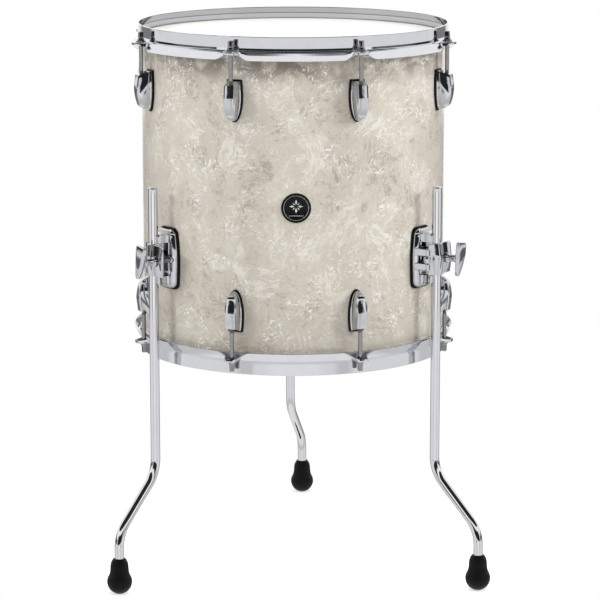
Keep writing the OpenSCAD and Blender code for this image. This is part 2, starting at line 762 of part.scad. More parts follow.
foot_at(0);  // rubber_foot_left
foot_at(1);  // rubber_foot_right
foot_at(2);  // rubber_foot_rear
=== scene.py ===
"""Floor tom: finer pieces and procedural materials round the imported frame.

Shapes are written in millimetres in the frame of the part: the origin is on
the floor on the axis of the shell, +Z is up and the badge faces -Y. Angles
round the shell run from -Y towards +X.
"""

import json
import math

import bmesh
import bpy
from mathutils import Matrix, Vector


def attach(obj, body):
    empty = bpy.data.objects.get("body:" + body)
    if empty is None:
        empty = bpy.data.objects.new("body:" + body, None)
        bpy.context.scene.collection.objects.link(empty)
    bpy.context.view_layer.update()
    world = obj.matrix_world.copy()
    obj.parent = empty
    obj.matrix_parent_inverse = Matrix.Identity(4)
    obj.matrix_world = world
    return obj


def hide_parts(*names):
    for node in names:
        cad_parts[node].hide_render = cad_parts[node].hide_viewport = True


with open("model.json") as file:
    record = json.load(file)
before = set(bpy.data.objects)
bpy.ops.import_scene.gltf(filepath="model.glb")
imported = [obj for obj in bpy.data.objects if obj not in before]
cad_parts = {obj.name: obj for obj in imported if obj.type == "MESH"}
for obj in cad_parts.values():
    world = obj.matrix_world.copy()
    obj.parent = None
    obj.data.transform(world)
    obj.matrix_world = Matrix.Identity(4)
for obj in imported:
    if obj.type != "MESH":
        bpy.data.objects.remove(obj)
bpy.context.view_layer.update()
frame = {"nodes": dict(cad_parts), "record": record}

MM = 0.001
TAU = 2 * math.pi

# ---- sizes shared by the pieces, in mm and degrees ----
# the shell, its wrap and the gaskets that stand on it
SHELL_Z = 310.0
SHELL_TOP = 717.0
SHELL_R = 202.5
SKIN_R = 203.2
GASKET = 3.0
PAD_H = GASKET - 0.02
SEAT_R = SKIN_R + GASKET
FILM_R = 203.9
FILM_T = 0.4
# lugs and rods: LUG_Z is a lug's middle, NOSE_Z the top of its nose
LUGS = 8
SECTOR = 360 / LUGS
ENDS = (("top", False), ("bottom", True))
LUG_Z = SHELL_TOP - 67.0
LUG_HALF = 26.0
LUG_PROUD = 19.3
NOSE_TOP = 20.5
NOSE_Z = LUG_Z + NOSE_TOP
ROD_RHO = 217.0
ROD_R = 2.8
# hoops: the wall's radius, thickness and rise over the shell, and the ears round the rods
HOOP_R = 207.7
HOOP_T = 2.1
HOOP_RISE = 16.0
EAR_REACH = 26.0
EAR_DROP = 2.5
EAR_TOP = SHELL_TOP - EAR_DROP
# brackets: U is across, V outwards from the gasket and W outwards from the wrap
BRACKETS = {"left": -54.0, "right": 54.0, "rear": 180.0}
BRACKET_Z = 434.5
BRACKET_HALF = 39.0
BRACKET_ROUND = 9.0
LEG_W = 25.8
LEG_BORE = 6.42
SADDLE_V = LEG_W - GASKET
JAW_HALF = 20.9
PIN_U, PIN_W = -15.0, 21.0
BOLT_U = 14.0
EAR_OUT = 33.0
WING_LEAN = {"left": 3.0, "right": 4.0, "rear": 12.0}
# legs: the straight part's place, and the double bend that leads to the foot
LEG_RHO = 229.0
LEG_R = 6.33
LEG_TOP = 530.0
LEG_OFFSET = 78.5
FOOT_DIR = {"left": -36.6, "right": 44.3, "rear": 166.2}
BEND_Z = 167.7
BEND_R = 44.0
BEND_A = math.radians(49.5)
# badge and floor
BADGE_Z = 513.5
FLOOR_R = 350.0


# ---- small geometry tools ----
def lerp(a, b, t):
    return a + (b - a) * t


def smooth(t):
    t = min(1.0, max(0.0, t))
    return t * t * (3 - 2 * t)


class Shape:
    """Vertices in mm and faces, gathered before they become one object."""

    def __init__(self):
        self.verts = []
        self.faces = []

    def add(self, verts, faces):
        base = len(self.verts)
        self.verts += [tuple(v) for v in verts]
        self.faces += [[i + base for i in f] for f in faces]

    def placed(self, move):
        """A copy with every vertex moved."""
        out = Shape()
        out.verts = [move(v) for v in self.verts]
        out.faces = [list(f) for f in self.faces]
        return out

    def join(self, other):
        self.add(other.verts, other.faces)
        return self


def loft(rows, wrap=False):
    """A skin over closed rows of points: wrap joins last to first, or both ends are capped."""
    n, m = len(rows), len(rows[0])
    verts = [p for r in rows for p in r]
    faces = []
    for i in range(n if wrap else n - 1):
        j = (i + 1) % n
        for k in range(m):
            q = (k + 1) % m
            faces.append([i * m + k, i * m + q, j * m + q, j * m + k])
    if not wrap:
        faces.append(list(range(m)))
        faces.append([(n - 1) * m + k for k in reversed(range(m))])
    s = Shape()
    s.add(verts, faces)
    return s


def revolve(profile, n, closed=False):
    """Turns (radius, height) points about the Z axis. A zero radius makes a pole."""
    s = Shape()
    index = []
    for r, h in profile:
        if r < 1e-6:
            index.append([len(s.verts)] * n)
            s.verts.append((0.0, 0.0, h))
        else:
            start = len(s.verts)
            for k in range(n):
                t = TAU * k / n
                s.verts.append((r * math.cos(t), r * math.sin(t), h))
            index.append(list(range(start, start + n)))
    pairs = list(zip(index, index[1:]))
    if closed:
        pairs.append((index[-1], index[0]))
    for a, b in pairs:
        for k in range(n):
            q = (k + 1) % n
            face = [a[k], a[q], b[q], b[k]]
            face = [v for i, v in enumerate(face) if v not in face[:i]]
            if len(face) > 2:
                s.faces.append(face)
    return s


def fillet(points, radii, seg=6, support=0.35):
    """A 2D path with rounded corners, and a support point on each side of a round.

    A round takes up at most 0.48 of each side that it joins."""
    out = [points[0]]
    for i in range(1, len(points) - 1):
        p0, p1, p2 = (Vector(points[i + d]) for d in (-1, 0, 1))
        a, b = (p0 - p1), (p2 - p1)
        la, lb = a.length, b.length
        a.normalize()
        b.normalize()
        angle = math.acos(max(-1, min(1, a.dot(b))))
        r = radii[i - 1]
        cut = min(r / math.tan(angle / 2), la * 0.48, lb * 0.48)
        r = cut * math.tan(angle / 2)
        t1, t2 = p1 + a * cut, p1 + b * cut
        centre = p1 + (a + b).normalized() * (r / math.sin(angle / 2))
        if la > cut + 2 * support:
            out.append(tuple(t1 + a * support))
        s, e = t1 - centre, t2 - centre
        sweep = math.pi - angle
        for k in range(seg + 1):
            w = k / seg
            spoke = s * math.sin((1 - w) * sweep) + e * math.sin(w * sweep)
            out.append(tuple(centre + spoke / math.sin(sweep)))
        if lb > cut + 2 * support:
            out.append(tuple(t2 + b * support))
    out.append(points[-1])
    return out


def rounded(corners, radii, seg):
    """A closed outline with rounded corners, running counter-clockwise."""
    start = tuple((Vector(corners[-1]) + Vector(corners[0])) / 2)
    out = fillet([start] + list(corners) + [start], radii, seg, 0.3)[:-1]
    area = sum(a[0] * b[1] - b[0] * a[1] for a, b in zip(out, out[1:] + out[:1]))
    return out if area > 0 else out[::-1]


def inset(outline, d):
    """Moves every edge of a counter-clockwise outline inwards by d."""
    out = []
    for i, p in enumerate(outline):
        b = Vector(p)
        e = (b - Vector(outline[i - 1])).normalized()
        f = (Vector(outline[(i + 1) % len(outline)]) - b).normalized()
        m = (Vector((-e.y, e.x)) + Vector((-f.y, f.x))) / max(0.5, 1 + e.dot(f))
        out.append(tuple(b + m * d))
    return out


def soft(z0, z1, r, draft=0.0):
    """Levels of a plate with rounded edges that also narrows away from its middle."""
    mid, half = (z0 + z1) / 2, (z1 - z0) / 2
    turns = [math.radians(t) for t in (0, 22, 45, 68, 90)]
    low = [(z0 + r * (1 - math.sin(t)), r * (1 - math.cos(t))) for t in reversed(turns)]
    first, last = z0 + r + 0.3, z1 - r - 0.3
    levels = low + [(lerp(first, last, k / 6), 0.0) for k in range(7)]
    levels += [(2 * mid - z, d) for z, d in reversed(low)]
    return [(z, d + draft * abs(z - mid) / half) for z, d in levels]


def plate(outline, levels, place):
    """A solid between level outlines; place maps (x, y, level) to the part."""
    return loft([[place(x, y, z) for x, y in inset(outline, d)] for z, d in levels])


def tube(path, radii, n):
    """A round bar along 3D points, with a radius for each."""
    pts = [Vector(p) for p in path]
    rows = []
    normal = None
    for i, p in enumerate(pts):
        a = pts[max(0, i - 1)]
        b = pts[min(len(pts) - 1, i + 1)]
        t = (b - a).normalized()
        if normal is None:
            normal = t.orthogonal().normalized()
        normal = (normal - t * normal.dot(t)).normalized()
        side = t.cross(normal)
        rows.append([
            tuple(p + (normal * math.cos(TAU * k / n) + side * math.sin(TAU * k / n)) * radii[i])
            for k in range(n)
        ])
    return loft(rows)


def turned(a):
    """Moves front-drawn points (across, -outwards, up) to angle a round the shell."""
    c, s = math.cos(math.radians(a)), math.sin(math.radians(a))
    return lambda v: (v[0] * c - v[1] * s, v[0] * s + v[1] * c, v[2])


def to_bottom(v):
    """Mirrors a point from the top of the shell to its bottom."""
    return (v[0], v[1], SHELL_TOP + SHELL_Z - v[2])


def on_rod(v):
    """Moves a shape turned about the Z axis to the axis of the rod at the front."""
    return (v[0], v[1] - ROD_RHO, v[2])


def at_lug(shape, i, bottom=False):
    """A front-drawn shape moved to lug number i, at the top or the bottom."""
    part = shape.placed(turned((i + 0.5) * SECTOR))
    return part.placed(to_bottom) if bottom else part


def each_lug(shape, bottom=False):
    out = Shape()
    for i in range(LUGS):
        out.join(at_lug(shape, i, bottom))
    return out


def both_ends(shape):
    return each_lug(shape).join(each_lug(shape, True))


def linked(name, data):
    """A new object in the scene that shows data."""
    obj = bpy.data.objects.new(name, data)
    bpy.context.scene.collection.objects.link(obj)
    return obj


def new_object(name, shape, material):
    """A mesh object in metres with one material."""
    mesh = bpy.data.meshes.new(name)
    mesh.from_pydata([(x * MM, y * MM, z * MM) for x, y, z in shape.verts], [], shape.faces)
    mesh.materials.append(material)
    return linked(name, mesh)


def build(name, shape, body, material, stands_for=(), sharp=32):
    """Makes the object, gives it its material and rides it on a CAD body.

    sharp is the angle above which an edge stays crisp."""
    obj = new_object(name, shape, material)
    mesh = obj.data
    bm = bmesh.new()
    bm.from_mesh(mesh)
    bmesh.ops.recalc_face_normals(bm, faces=bm.faces)
    bm.to_mesh(mesh)
    bm.free()
    mesh.polygons.foreach_set("use_smooth", [True] * len(mesh.polygons))
    mesh.set_sharp_from_angle(angle=math.radians(sharp))
    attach(obj, body)
    if stands_for:
        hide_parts(*stands_for)


def shaded(tone, factor):
    """A colour made lighter or darker."""
    return tuple(c * factor for c in tone)


# ---- node helpers ----
class Nodes:
    """The node tree of a new material or world, with short calls for the nodes used here."""

    def __init__(self, owner):
        owner.use_nodes = True
        self.owner = owner
        self.tree = owner.node_tree
        self.bsdf = self.tree.nodes.get("Principled BSDF")

    def put(self, socket, value):
        if isinstance(value, bpy.types.NodeSocket):
            self.tree.links.new(value, socket)
        elif isinstance(value, (tuple, list)) and len(value) == 3 and socket.type == "RGBA":
            socket.default_value = (*value, 1.0)
        else:
            socket.default_value = value

    def node(self, kind, inputs=None, **settings):
        n = self.tree.nodes.new(kind)
        for k, v in settings.items():
            setattr(n, k, v)
        for k, v in (inputs or {}).items():
            self.put(n.inputs[k], v)
        return n

    def coords(self):
        return self.node("ShaderNodeTexCoord").outputs["Object"]

    def noise(self, vector, scale, detail=2.0, rough=0.5, distortion=0.0):
        n = self.node("ShaderNodeTexNoise", {
            "Vector": vector, "Scale": scale, "Detail": detail,
            "Roughness": rough, "Distortion": distortion,
        })
        return n.outputs["Fac"]

    def math(self, op, a, b=0.0):
        n = self.node("ShaderNodeMath", operation=op)
        self.put(n.inputs[0], a)
        self.put(n.inputs[1], b)
        return n.outputs[0]

    def vector(self, op, a, b):
        n = self.node("ShaderNodeVectorMath", operation=op)
        self.put(n.inputs[0], a)
        self.put(n.inputs["Scale" if op == "SCALE" else 1], b)
        return n.outputs[0]

    def split(self, vector):
        return self.node("ShaderNodeSeparateXYZ", {"Vector": vector}).outputs

    def around(self, xyz):
        """The angle round the Z axis, from -Y towards +X, in radians."""
        return self.math("ARCTAN2", xyz[0], self.times(xyz[1], -1.0))

    def times(self, a, b):
        return self.math("MULTIPLY", a, b)

    def plus(self, a, b):
        return self.math("ADD", a, b)

    def span(self, value, lo, hi, out_lo=0.0, out_hi=1.0):
        """A smooth step from out_lo to out_hi as value goes from lo to hi."""
        n = self.node("ShaderNodeMapRange", {
            "Value": value, "From Min": lo, "From Max": hi,
            "To Min": out_lo, "To Max": out_hi,
        }, interpolation_type="SMOOTHSTEP")
        return n.outputs["Result"]

    def window(self, value, a, b, c, d):
        """One from b to c, falling smoothly to zero at a and d."""
        return self.times(self.span(value, a, b), self.span(value, d, c))

    def mix(self, factor, a, b):
        n = self.node("ShaderNodeMix", data_type="RGBA")
        self.put(n.inputs[0], factor)
        self.put(n.inputs[6], a)
        self.put(n.inputs[7], b)
        return n.outputs[2]

    def bump(self, height, strength, distance):
        n = self.node("ShaderNodeBump", {
            "Height": height, "Strength": strength, "Distance": distance,
        })
        self.put(self.bsdf.inputs["Normal"], n.outputs["Normal"])

    def shader(self, **values):
        """Sets the material's own shader and returns the material."""
        for k, v in values.items():
            self.put(self.bsdf.inputs[k.replace("_", " ")], v)
        return self.owner


def new_material(name):
    return Nodes(bpy.data.materials.new(name))


def chrome(name, tint, rough, wave, wave_scale, inner_wall_shade=None):
    """Plated metal: faint smears in the gloss and a slow waviness of the plating.

    The last tone, when given, paints shade on the inside of a hoop's wall: a greyer tone, a
    painted lighter band nearer the shell and a painted dark line along it. There, over is the
    distance beyond the nearer end of the shell."""
    m = new_material(name)
    p = m.coords()
    smear = m.noise(p, 60.0, 4.0, 0.6, 0.4)
    fine = m.noise(p, 900.0)
    gloss = m.plus(m.span(smear, 0.35, 0.75, rough * 0.6, rough * 1.5),
                   m.span(fine, 0.3, 0.7, 0.0, rough * 0.35))
    tone = m.mix(m.span(smear, 0.3, 0.7), tint, shaded(tint, 0.96))
    if inner_wall_shade:
        xyz = m.split(p)
        rho = m.math("SQRT", m.plus(m.times(xyz[0], xyz[0]), m.times(xyz[1], xyz[1])))
        lift = m.math("ABSOLUTE", m.math("SUBTRACT", xyz[2], (SHELL_TOP + SHELL_Z) / 2 * MM))
        over = m.math("SUBTRACT", lift, (SHELL_TOP - SHELL_Z) / 2 * MM)
        wall = HOOP_R - HOOP_T
        # painted shade inside the wall: a lighter band nearer the shell, a greyer tone beyond it, and
        # a painted dark line where they meet
        inner = m.mix(m.span(over, 0.0078, 0.0086), shaded(inner_wall_shade, 1.18), inner_wall_shade)
        inner = m.mix(m.window(over, 0.0068, 0.0075, 0.0082, 0.0088), inner, shaded(inner_wall_shade, 0.5))
        tone = m.mix(m.span(rho, (wall + 0.15) * MM, (wall + 0.6) * MM), inner, tone)
    m.bump(m.noise(p, wave_scale, 1.0), wave, 0.0004)
    return m.shader(Base_Color=tone, Metallic=1.0, Roughness=gloss)


def pearl_wrap():
    """Pearl film: feathered flakes laid every way, painted pale glints, painted shade low down and
    under the upper hoop, and a gloss coat.
    """
    m = new_material("pearl_wrap_film")
    xyz = m.split(m.coords())
    flat = m.node("ShaderNodeCombineXYZ", {
        "X": m.times(m.around(xyz), SKIN_R * MM), "Y": xyz[2], "Z": 0.0,
    }).outputs[0]

    def feathers(cells, across, along, drift, seed):
        """Streaks whose direction changes from one ragged patch to the next, and each patch's tone."""
        at = m.vector("ADD", flat, (seed * 1.37, seed * 2.11, seed * 0.73))
        wobble = m.node("ShaderNodeTexNoise", {
            "Vector": at, "Scale": cells * 1.6, "Detail": 3.0, "Roughness": 0.6,
        }).outputs["Color"]
        off = m.vector("SUBTRACT", wobble, (0.5, 0.5, 0.5))
        warped = m.vector("ADD", at, m.vector("SCALE", off, drift))
        patch = m.node("ShaderNodeTexVoronoi", {"Vector": warped, "Scale": cells},
                       voronoi_dimensions="2D")
        rgb = m.node("ShaderNodeSeparateColor", {"Color": patch.outputs["Color"]}).outputs
        spun = m.node("ShaderNodeVectorRotate", {"Vector": warped, "Angle": m.times(rgb[0], TAU)},
                      rotation_type="Z_AXIS").outputs[0]
        stretched = m.node("ShaderNodeMapping", {"Vector": spun, "Scale": (across, along, 1.0)})
        return m.noise(stretched.outputs[0], 1.0, 3.0, 0.55, 0.3), rgb[1]

    big, tone_big = feathers(26.0, 260.0, 60.0, 0.030, 1.0)
    mid, tone_mid = feathers(55.0, 520.0, 120.0, 0.016, 5.0)
    fine, tone_fine = feathers(120.0, 900.0, 170.0, 0.008, 9.0)
    cloud = m.noise(flat, 14.0, 3.0, 0.55)

    # one grey value from all the layers: (layer, its middle, its weight)
    shade = m.times(big, 0.46)
    for layer, middle, weight in ((mid, 0.0, 0.36), (fine, 0.0, 0.18), (tone_big, 0.5, 0.13),
                                  (tone_mid, 0.5, 0.06), (cloud, 0.5, 0.30)):
        shade = m.plus(shade, m.times(m.math("SUBTRACT", layer, middle), weight))
    dark, base, pale = (0.505, 0.446, 0.366), (0.73, 0.668, 0.572), (0.91, 0.858, 0.77)
    colour = m.mix(m.span(shade, 0.30, 0.47), dark, base)
    colour = m.mix(m.span(shade, 0.49, 0.66), colour, pale)
    bloom = m.times(m.span(tone_big, 0.66, 0.86), m.span(big, 0.42, 0.60))
    bloom = m.times(bloom, m.span(m.noise(flat, 9.0), 0.44, 0.60))
    colour = m.mix(m.times(bloom, 0.6), colour, (0.95, 0.945, 0.87))

    # painted shade: darker towards the bottom of the shell, and a mottled painted shadow and
    # reflection of the upper hoop under it
    low = m.span(xyz[2], (SHELL_Z + 140) * MM, (SHELL_Z - 10) * MM, 0.0, 0.26)
    colour = m.mix(low, colour, (0.50, 0.445, 0.365))
    painted_hoop_shadow = m.span(xyz[2], (SHELL_TOP - 53) * MM, (SHELL_TOP - 23) * MM)
    mottle = m.span(m.noise(flat, 34.0, 4.0, 0.65, 0.6), 0.40, 0.60, 1.0, 0.22)
    colour = m.mix(m.times(painted_hoop_shadow, mottle), colour, (0.30, 0.25, 0.215))

    # painted glints: pale highlights painted into the colour, gathered in clusters
    cluster = m.noise(flat, 20.0, 2.0, 0.6)
    glint = m.times(m.span(mid, 0.56, 0.615), m.span(cluster, 0.505, 0.585))
    spark = m.times(m.span(fine, 0.58, 0.67), m.span(tone_fine, 0.40, 0.75))
    glint = m.math("MAXIMUM", glint, m.times(spark, m.span(cluster, 0.44, 0.60)))
    colour = m.mix(glint, colour, m.mix(tone_mid, (1.0, 0.98, 0.93), (0.95, 0.98, 0.92)))
    m.bump(mid, 0.03, 0.0002)
    return m.shader(Base_Color=colour, Metallic=0.0, Roughness=m.span(shade, 0.4, 0.6, 0.34, 0.24),
                    Coat_Weight=0.7, Coat_Roughness=0.04, Specular_IOR_Level=0.4)


def coated_film():
    """The sprayed white coating of the batter head."""
    m = new_material("batter_coating")
    p = m.coords()
    grain = m.noise(p, 1800.0, 3.0, 0.7)
    cloud = m.noise(p, 9.0, 3.0)
    colour = m.mix(m.span(cloud, 0.35, 0.65), (0.915, 0.91, 0.885), (0.94, 0.937, 0.915))
    colour = m.mix(m.span(grain, 0.62, 0.78, 0.0, 0.25), colour, (0.86, 0.855, 0.83))
    m.bump(grain, 0.25, 0.00012)
    return m.shader(Base_Color=colour, Roughness=m.span(grain, 0.3, 0.7, 0.46, 0.62),
                    Specular_IOR_Level=0.4)


def clear_film():
    """The uncoated film of the resonant head, slightly cloudy."""
    m = new_material("resonant_clear_film")
    p = m.coords()
    haze = m.noise(p, 18.0, 3.0)
    colour = m.mix(m.span(haze, 0.3, 0.7), (0.80, 0.81, 0.815), (0.86, 0.865, 0.87))
    m.bump(m.noise(p, 40.0), 0.04, 0.0003)
    return m.shader(Base_Color=colour, Roughness=m.span(haze, 0.3, 0.7, 0.10, 0.2),
                    Specular_IOR_Level=0.5)


def rubber(name, tone, grain_scale):
    """Moulded rubber: fine grain, and paler dust where it lies."""
    m = new_material(name)
    p = m.coords()
    grain = m.noise(p, grain_scale, 3.0, 0.6)
    dust = m.noise(p, 110.0, 3.0, 0.6)
    dusty = (tone * 2.0, tone * 1.95, tone * 1.85)
    colour = m.mix(m.span(dust, 0.45, 0.75, 0.0, 0.6), (tone,) * 3, dusty)
    m.bump(grain, 0.18, 0.0003)
    return m.shader(Base_Color=colour, Roughness=m.span(dust, 0.3, 0.7, 0.38, 0.55),
                    Specular_IOR_Level=0.16)


def plated(name, tone, rough):
    """Satin metal with turning marks, as zinc plate, alloy and the badge's silver have."""
    m = new_material(name)
    p = m.coords()
    marks = m.node("ShaderNodeMapping", {"Vector": p, "Scale": (900.0, 900.0, 120.0)}).outputs[0]
    line = m.noise(marks, 1.0)
    patch = m.noise(p, 160.0, 3.0)
    colour = m.mix(m.span(patch, 0.3, 0.7), tone, shaded(tone, 0.82))
    m.bump(line, 0.15, 0.0001)
    return m.shader(Base_Color=colour, Metallic=1.0,
                    Roughness=m.span(line, 0.3, 0.7, rough, rough * 1.5))


def maple():
    """Plywood: long grain round the shell, with darker pores."""
    m = new_material("maple_shell")
    xyz = m.split(m.coords())
    flat = m.node("ShaderNodeCombineXYZ", {
        "X": m.times(m.around(xyz), 2.0), "Y": m.times(xyz[2], 90.0), "Z": 0.0,
    }).outputs[0]
    grain = m.noise(flat, 1.6, 5.0, 0.6, 0.8)
    pores = m.noise(flat, 14.0, 3.0, 0.7)
    colour = m.mix(m.span(grain, 0.3, 0.7), (0.60, 0.41, 0.24), (0.72, 0.53, 0.34))
    colour = m.mix(m.span(pores, 0.58, 0.72, 0.0, 0.5), colour, (0.40, 0.25, 0.13))
    m.bump(pores, 0.1, 0.0003)
    return m.shader(Base_Color=colour, Roughness=m.span(grain, 0.3, 0.7, 0.32, 0.44))


def enamel():
    """The gloss black of the badge, with the faint marks of handling."""
    m = new_material("badge_enamel")
    p = m.coords()
    smear = m.noise(p, 260.0, 4.0, 0.6)
    colour = m.mix(m.span(smear, 0.4, 0.8), (0.004, 0.004, 0.005), (0.012, 0.012, 0.014))
    m.bump(m.noise(p, 1500.0), 0.04, 0.0001)
    return m.shader(Base_Color=colour, Roughness=m.span(smear, 0.3, 0.7, 0.16, 0.3),
                    Specular_IOR_Level=0.16)


# the last tone is the painted shade inside the hoops' walls
HOOP_CHROME = chrome("hoop_plating", (0.635, 0.655, 0.69), 0.03, 0.04, 14.0, (0.45, 0.46, 0.48))
LUG_CHROME = chrome("lug_plating", (0.575, 0.595, 0.625), 0.05, 0.22, 120.0)
ROD_CHROME = chrome("rod_plating", (0.29, 0.29, 0.285), 0.10, 0.08, 120.0)
LEG_CHROME = chrome("leg_plating", (0.65, 0.665, 0.69), 0.03, 0.02, 30.0)
BRACKET_CHROME = chrome("bracket_plating", (0.575, 0.59, 0.62), 0.05, 0.20, 90.0)
PEARL = pearl_wrap()
COATED = coated_film()
CLEAR = clear_film()
GASKET_RUBBER = rubber("gasket_rubber", 0.0025, 1400.0)
FOOT_RUBBER = rubber("foot_rubber_black", 0.003, 900.0)
ZINC = plated("zinc_plate", (0.62, 0.62, 0.64), 0.28)
RING_ALLOY = plated("head_ring_alloy", (0.70, 0.70, 0.71), 0.32)
MAPLE = maple()
ENAMEL = enamel()
BADGE_SILVER = plated("badge_silver", (0.78, 0.78, 0.76), 0.22)

SLOT_MATERIAL = {
    "maple_ply": MAPLE, "pearl_wrap": PEARL, "badge_black": ENAMEL, "coated_head": COATED,
    "clear_head": CLEAR, "head_ring": RING_ALLOY, "hoop_chrome": HOOP_CHROME,
    "lug_chrome": LUG_CHROME, "rod_chrome": ROD_CHROME, "bracket_chrome": BRACKET_CHROME,
    "leg_chrome": LEG_CHROME, "gasket_black": GASKET_RUBBER, "foot_rubber": FOOT_RUBBER,
    "steel_zinc": ZINC,
}
CAD_SHARP = 28
for part in frame["record"]["subparts"]:
    cad_mesh = frame["nodes"][part["node"]].data
    cad_mesh.materials.clear()
    cad_mesh.materials.append(SLOT_MATERIAL[part["material_slot"]])
    cad_mesh.polygons.foreach_set("use_smooth", [True] * len(cad_mesh.polygons))
    cad_mesh.set_sharp_from_angle(angle=math.radians(CAD_SHARP))


# ---- shell, wrap and heads ----
def wrap_piece():
    """The wrap: a thin sleeve whose edges are rounded over."""
    low, high = SHELL_Z + 5, SHELL_TOP - 5
    return revolve([
        (SHELL_R + 0.02, low), (SKIN_R - 0.15, low), (SKIN_R, low + 0.15), (SKIN_R, low + 0.6),
        (SKIN_R, high - 0.6), (SKIN_R, high - 0.15), (SKIN_R - 0.15, high), (SHELL_R + 0.02, high),
    ], 360, closed=True)


build("wrap_sleeve", wrap_piece(), "drum", PEARL, ["pearl_wrap"])


def film_piece():
    """A head film: flat, turned down over the bearing edge into the hoop ring."""
    t = SHELL_TOP
    out = [(0, t + FILM_T), (FILM_R - 2.7, t + FILM_T), (FILM_R, t - 2.6), (FILM_R, t - 11)]
    ins = [(FILM_R - FILM_T, t - 11), (FILM_R - FILM_T, t - 2.8), (FILM_R - 3, t), (0, t)]
    return revolve(fillet(out, [3.0, 3.0]) + fillet(ins, [3.0, 3.0]), 256)


build("batter_head_film", film_piece(), "drum", COATED, ["batter_film"])
build("resonant_head_film", film_piece().placed(to_bottom), "drum", CLEAR,
      ["resonant_film"])


# ---- hoops ----
def hoop_angles():
    """Angles round the hoop, close together at the ears and wider between them."""
    near = EAR_REACH / ROD_RHO
    gap = math.radians(SECTOR) - 2 * near
    angles = []
    for i in range(LUGS):
        mid = math.radians((i + 0.5) * SECTOR)
        angles += [mid + near * k / 26 for k in range(-26, 27)]
        angles += [mid + near + gap * k / 18 for k in range(1, 18)]
    return angles


def hoop_piece():
    """One stamped hoop. Its flared skirt lifts into an ear over every rod."""
    skirt_r, knee_z, flare = 212.4, -3.2, 0.389
    rows = []
    for a in hoop_angles():
        i = round(math.degrees(a) / SECTOR - 0.5)
        u = abs((a - math.radians((i + 0.5) * SECTOR)) * ROD_RHO)
        ear = 1 - smooth((u - 5.0) / 7.0)
        lift = 1 - smooth((u - 4.0) / 20.0)
        knee = (lerp(skirt_r, 228.0, ear), lerp(knee_z, -EAR_DROP, ear))
        low = -14.0 + 7.9 * lift
        edge = (lerp(skirt_r - flare * (low - knee_z), 227.9, ear), low)
        between = ((knee[0] + edge[0]) / 2 + 0.15, (knee[1] + edge[1]) / 2)
        outer = [(HOOP_R, HOOP_RISE - 0.6)] + fillet(
            [(HOOP_R, HOOP_RISE - 0.9), (HOOP_R, 0.9), (HOOP_R + 0.44, -2.3), knee, between, edge],
            [1.5, 0.6, lerp(1.9, 2.0, ear), lerp(60.0, 4.0, ear)],
        )
        inner = []
        for k, p in enumerate(outer):
            q0, q1 = Vector(outer[max(0, k - 1)]), Vector(outer[min(len(outer) - 1, k + 1)])
            d = (q1 - q0).normalized()
            inner.append((p[0] + d[1] * HOOP_T, p[1] - d[0] * HOOP_T))
        wall = HOOP_R - HOOP_T
        rim = [(wall, HOOP_RISE - 0.6), (wall + 0.12, HOOP_RISE - 0.2), (wall + 0.5, HOOP_RISE),
               (HOOP_R - 0.5, HOOP_RISE), (HOOP_R - 0.12, HOOP_RISE - 0.2)]
        section = outer + inner[:0:-1] + rim
        rows.append([(r * math.sin(a), -r * math.cos(a), SHELL_TOP + z) for r, z in section])
    return loft(rows, wrap=True)


HOOP = hoop_piece()
build("batter_hoop_stamped", HOOP, "drum", HOOP_CHROME, ["batter_hoop"], sharp=50)
build("resonant_hoop_stamped", HOOP.placed(to_bottom), "drum", HOOP_CHROME,
      ["resonant_hoop"], sharp=50)


# ---- lugs ----
def lug_half_width(z, grow=0.0):
    """Half the width of a lug's outline at height z from its middle."""
    w, h = 10.0 + grow, LUG_HALF + grow
    if z >= 0.25 * h:
        q = (h - z) / (0.75 * h)
        return w * (1 - 0.14 * (1 - q) ** 2)
    s = (0.25 - z / h) / 1.25
    return w * math.sqrt(max(0.0, 1 - s * s))


def lug_levels(grow=0.0):
    """Heights down a lug, closer together where its outline rounds off at the far end."""
    h = LUG_HALF + grow
    levels = [h - 0.75 * h * k / 14 for k in range(14)]
    return levels + [h * (0.25 - 1.25 * math.sin(math.pi / 2 * k / 26)) for k in range(27)]


def seat_drop(u, radius):
    """How far a cylinder of that radius falls away at distance u across."""
    return radius - math.sqrt(radius * radius - u * u)


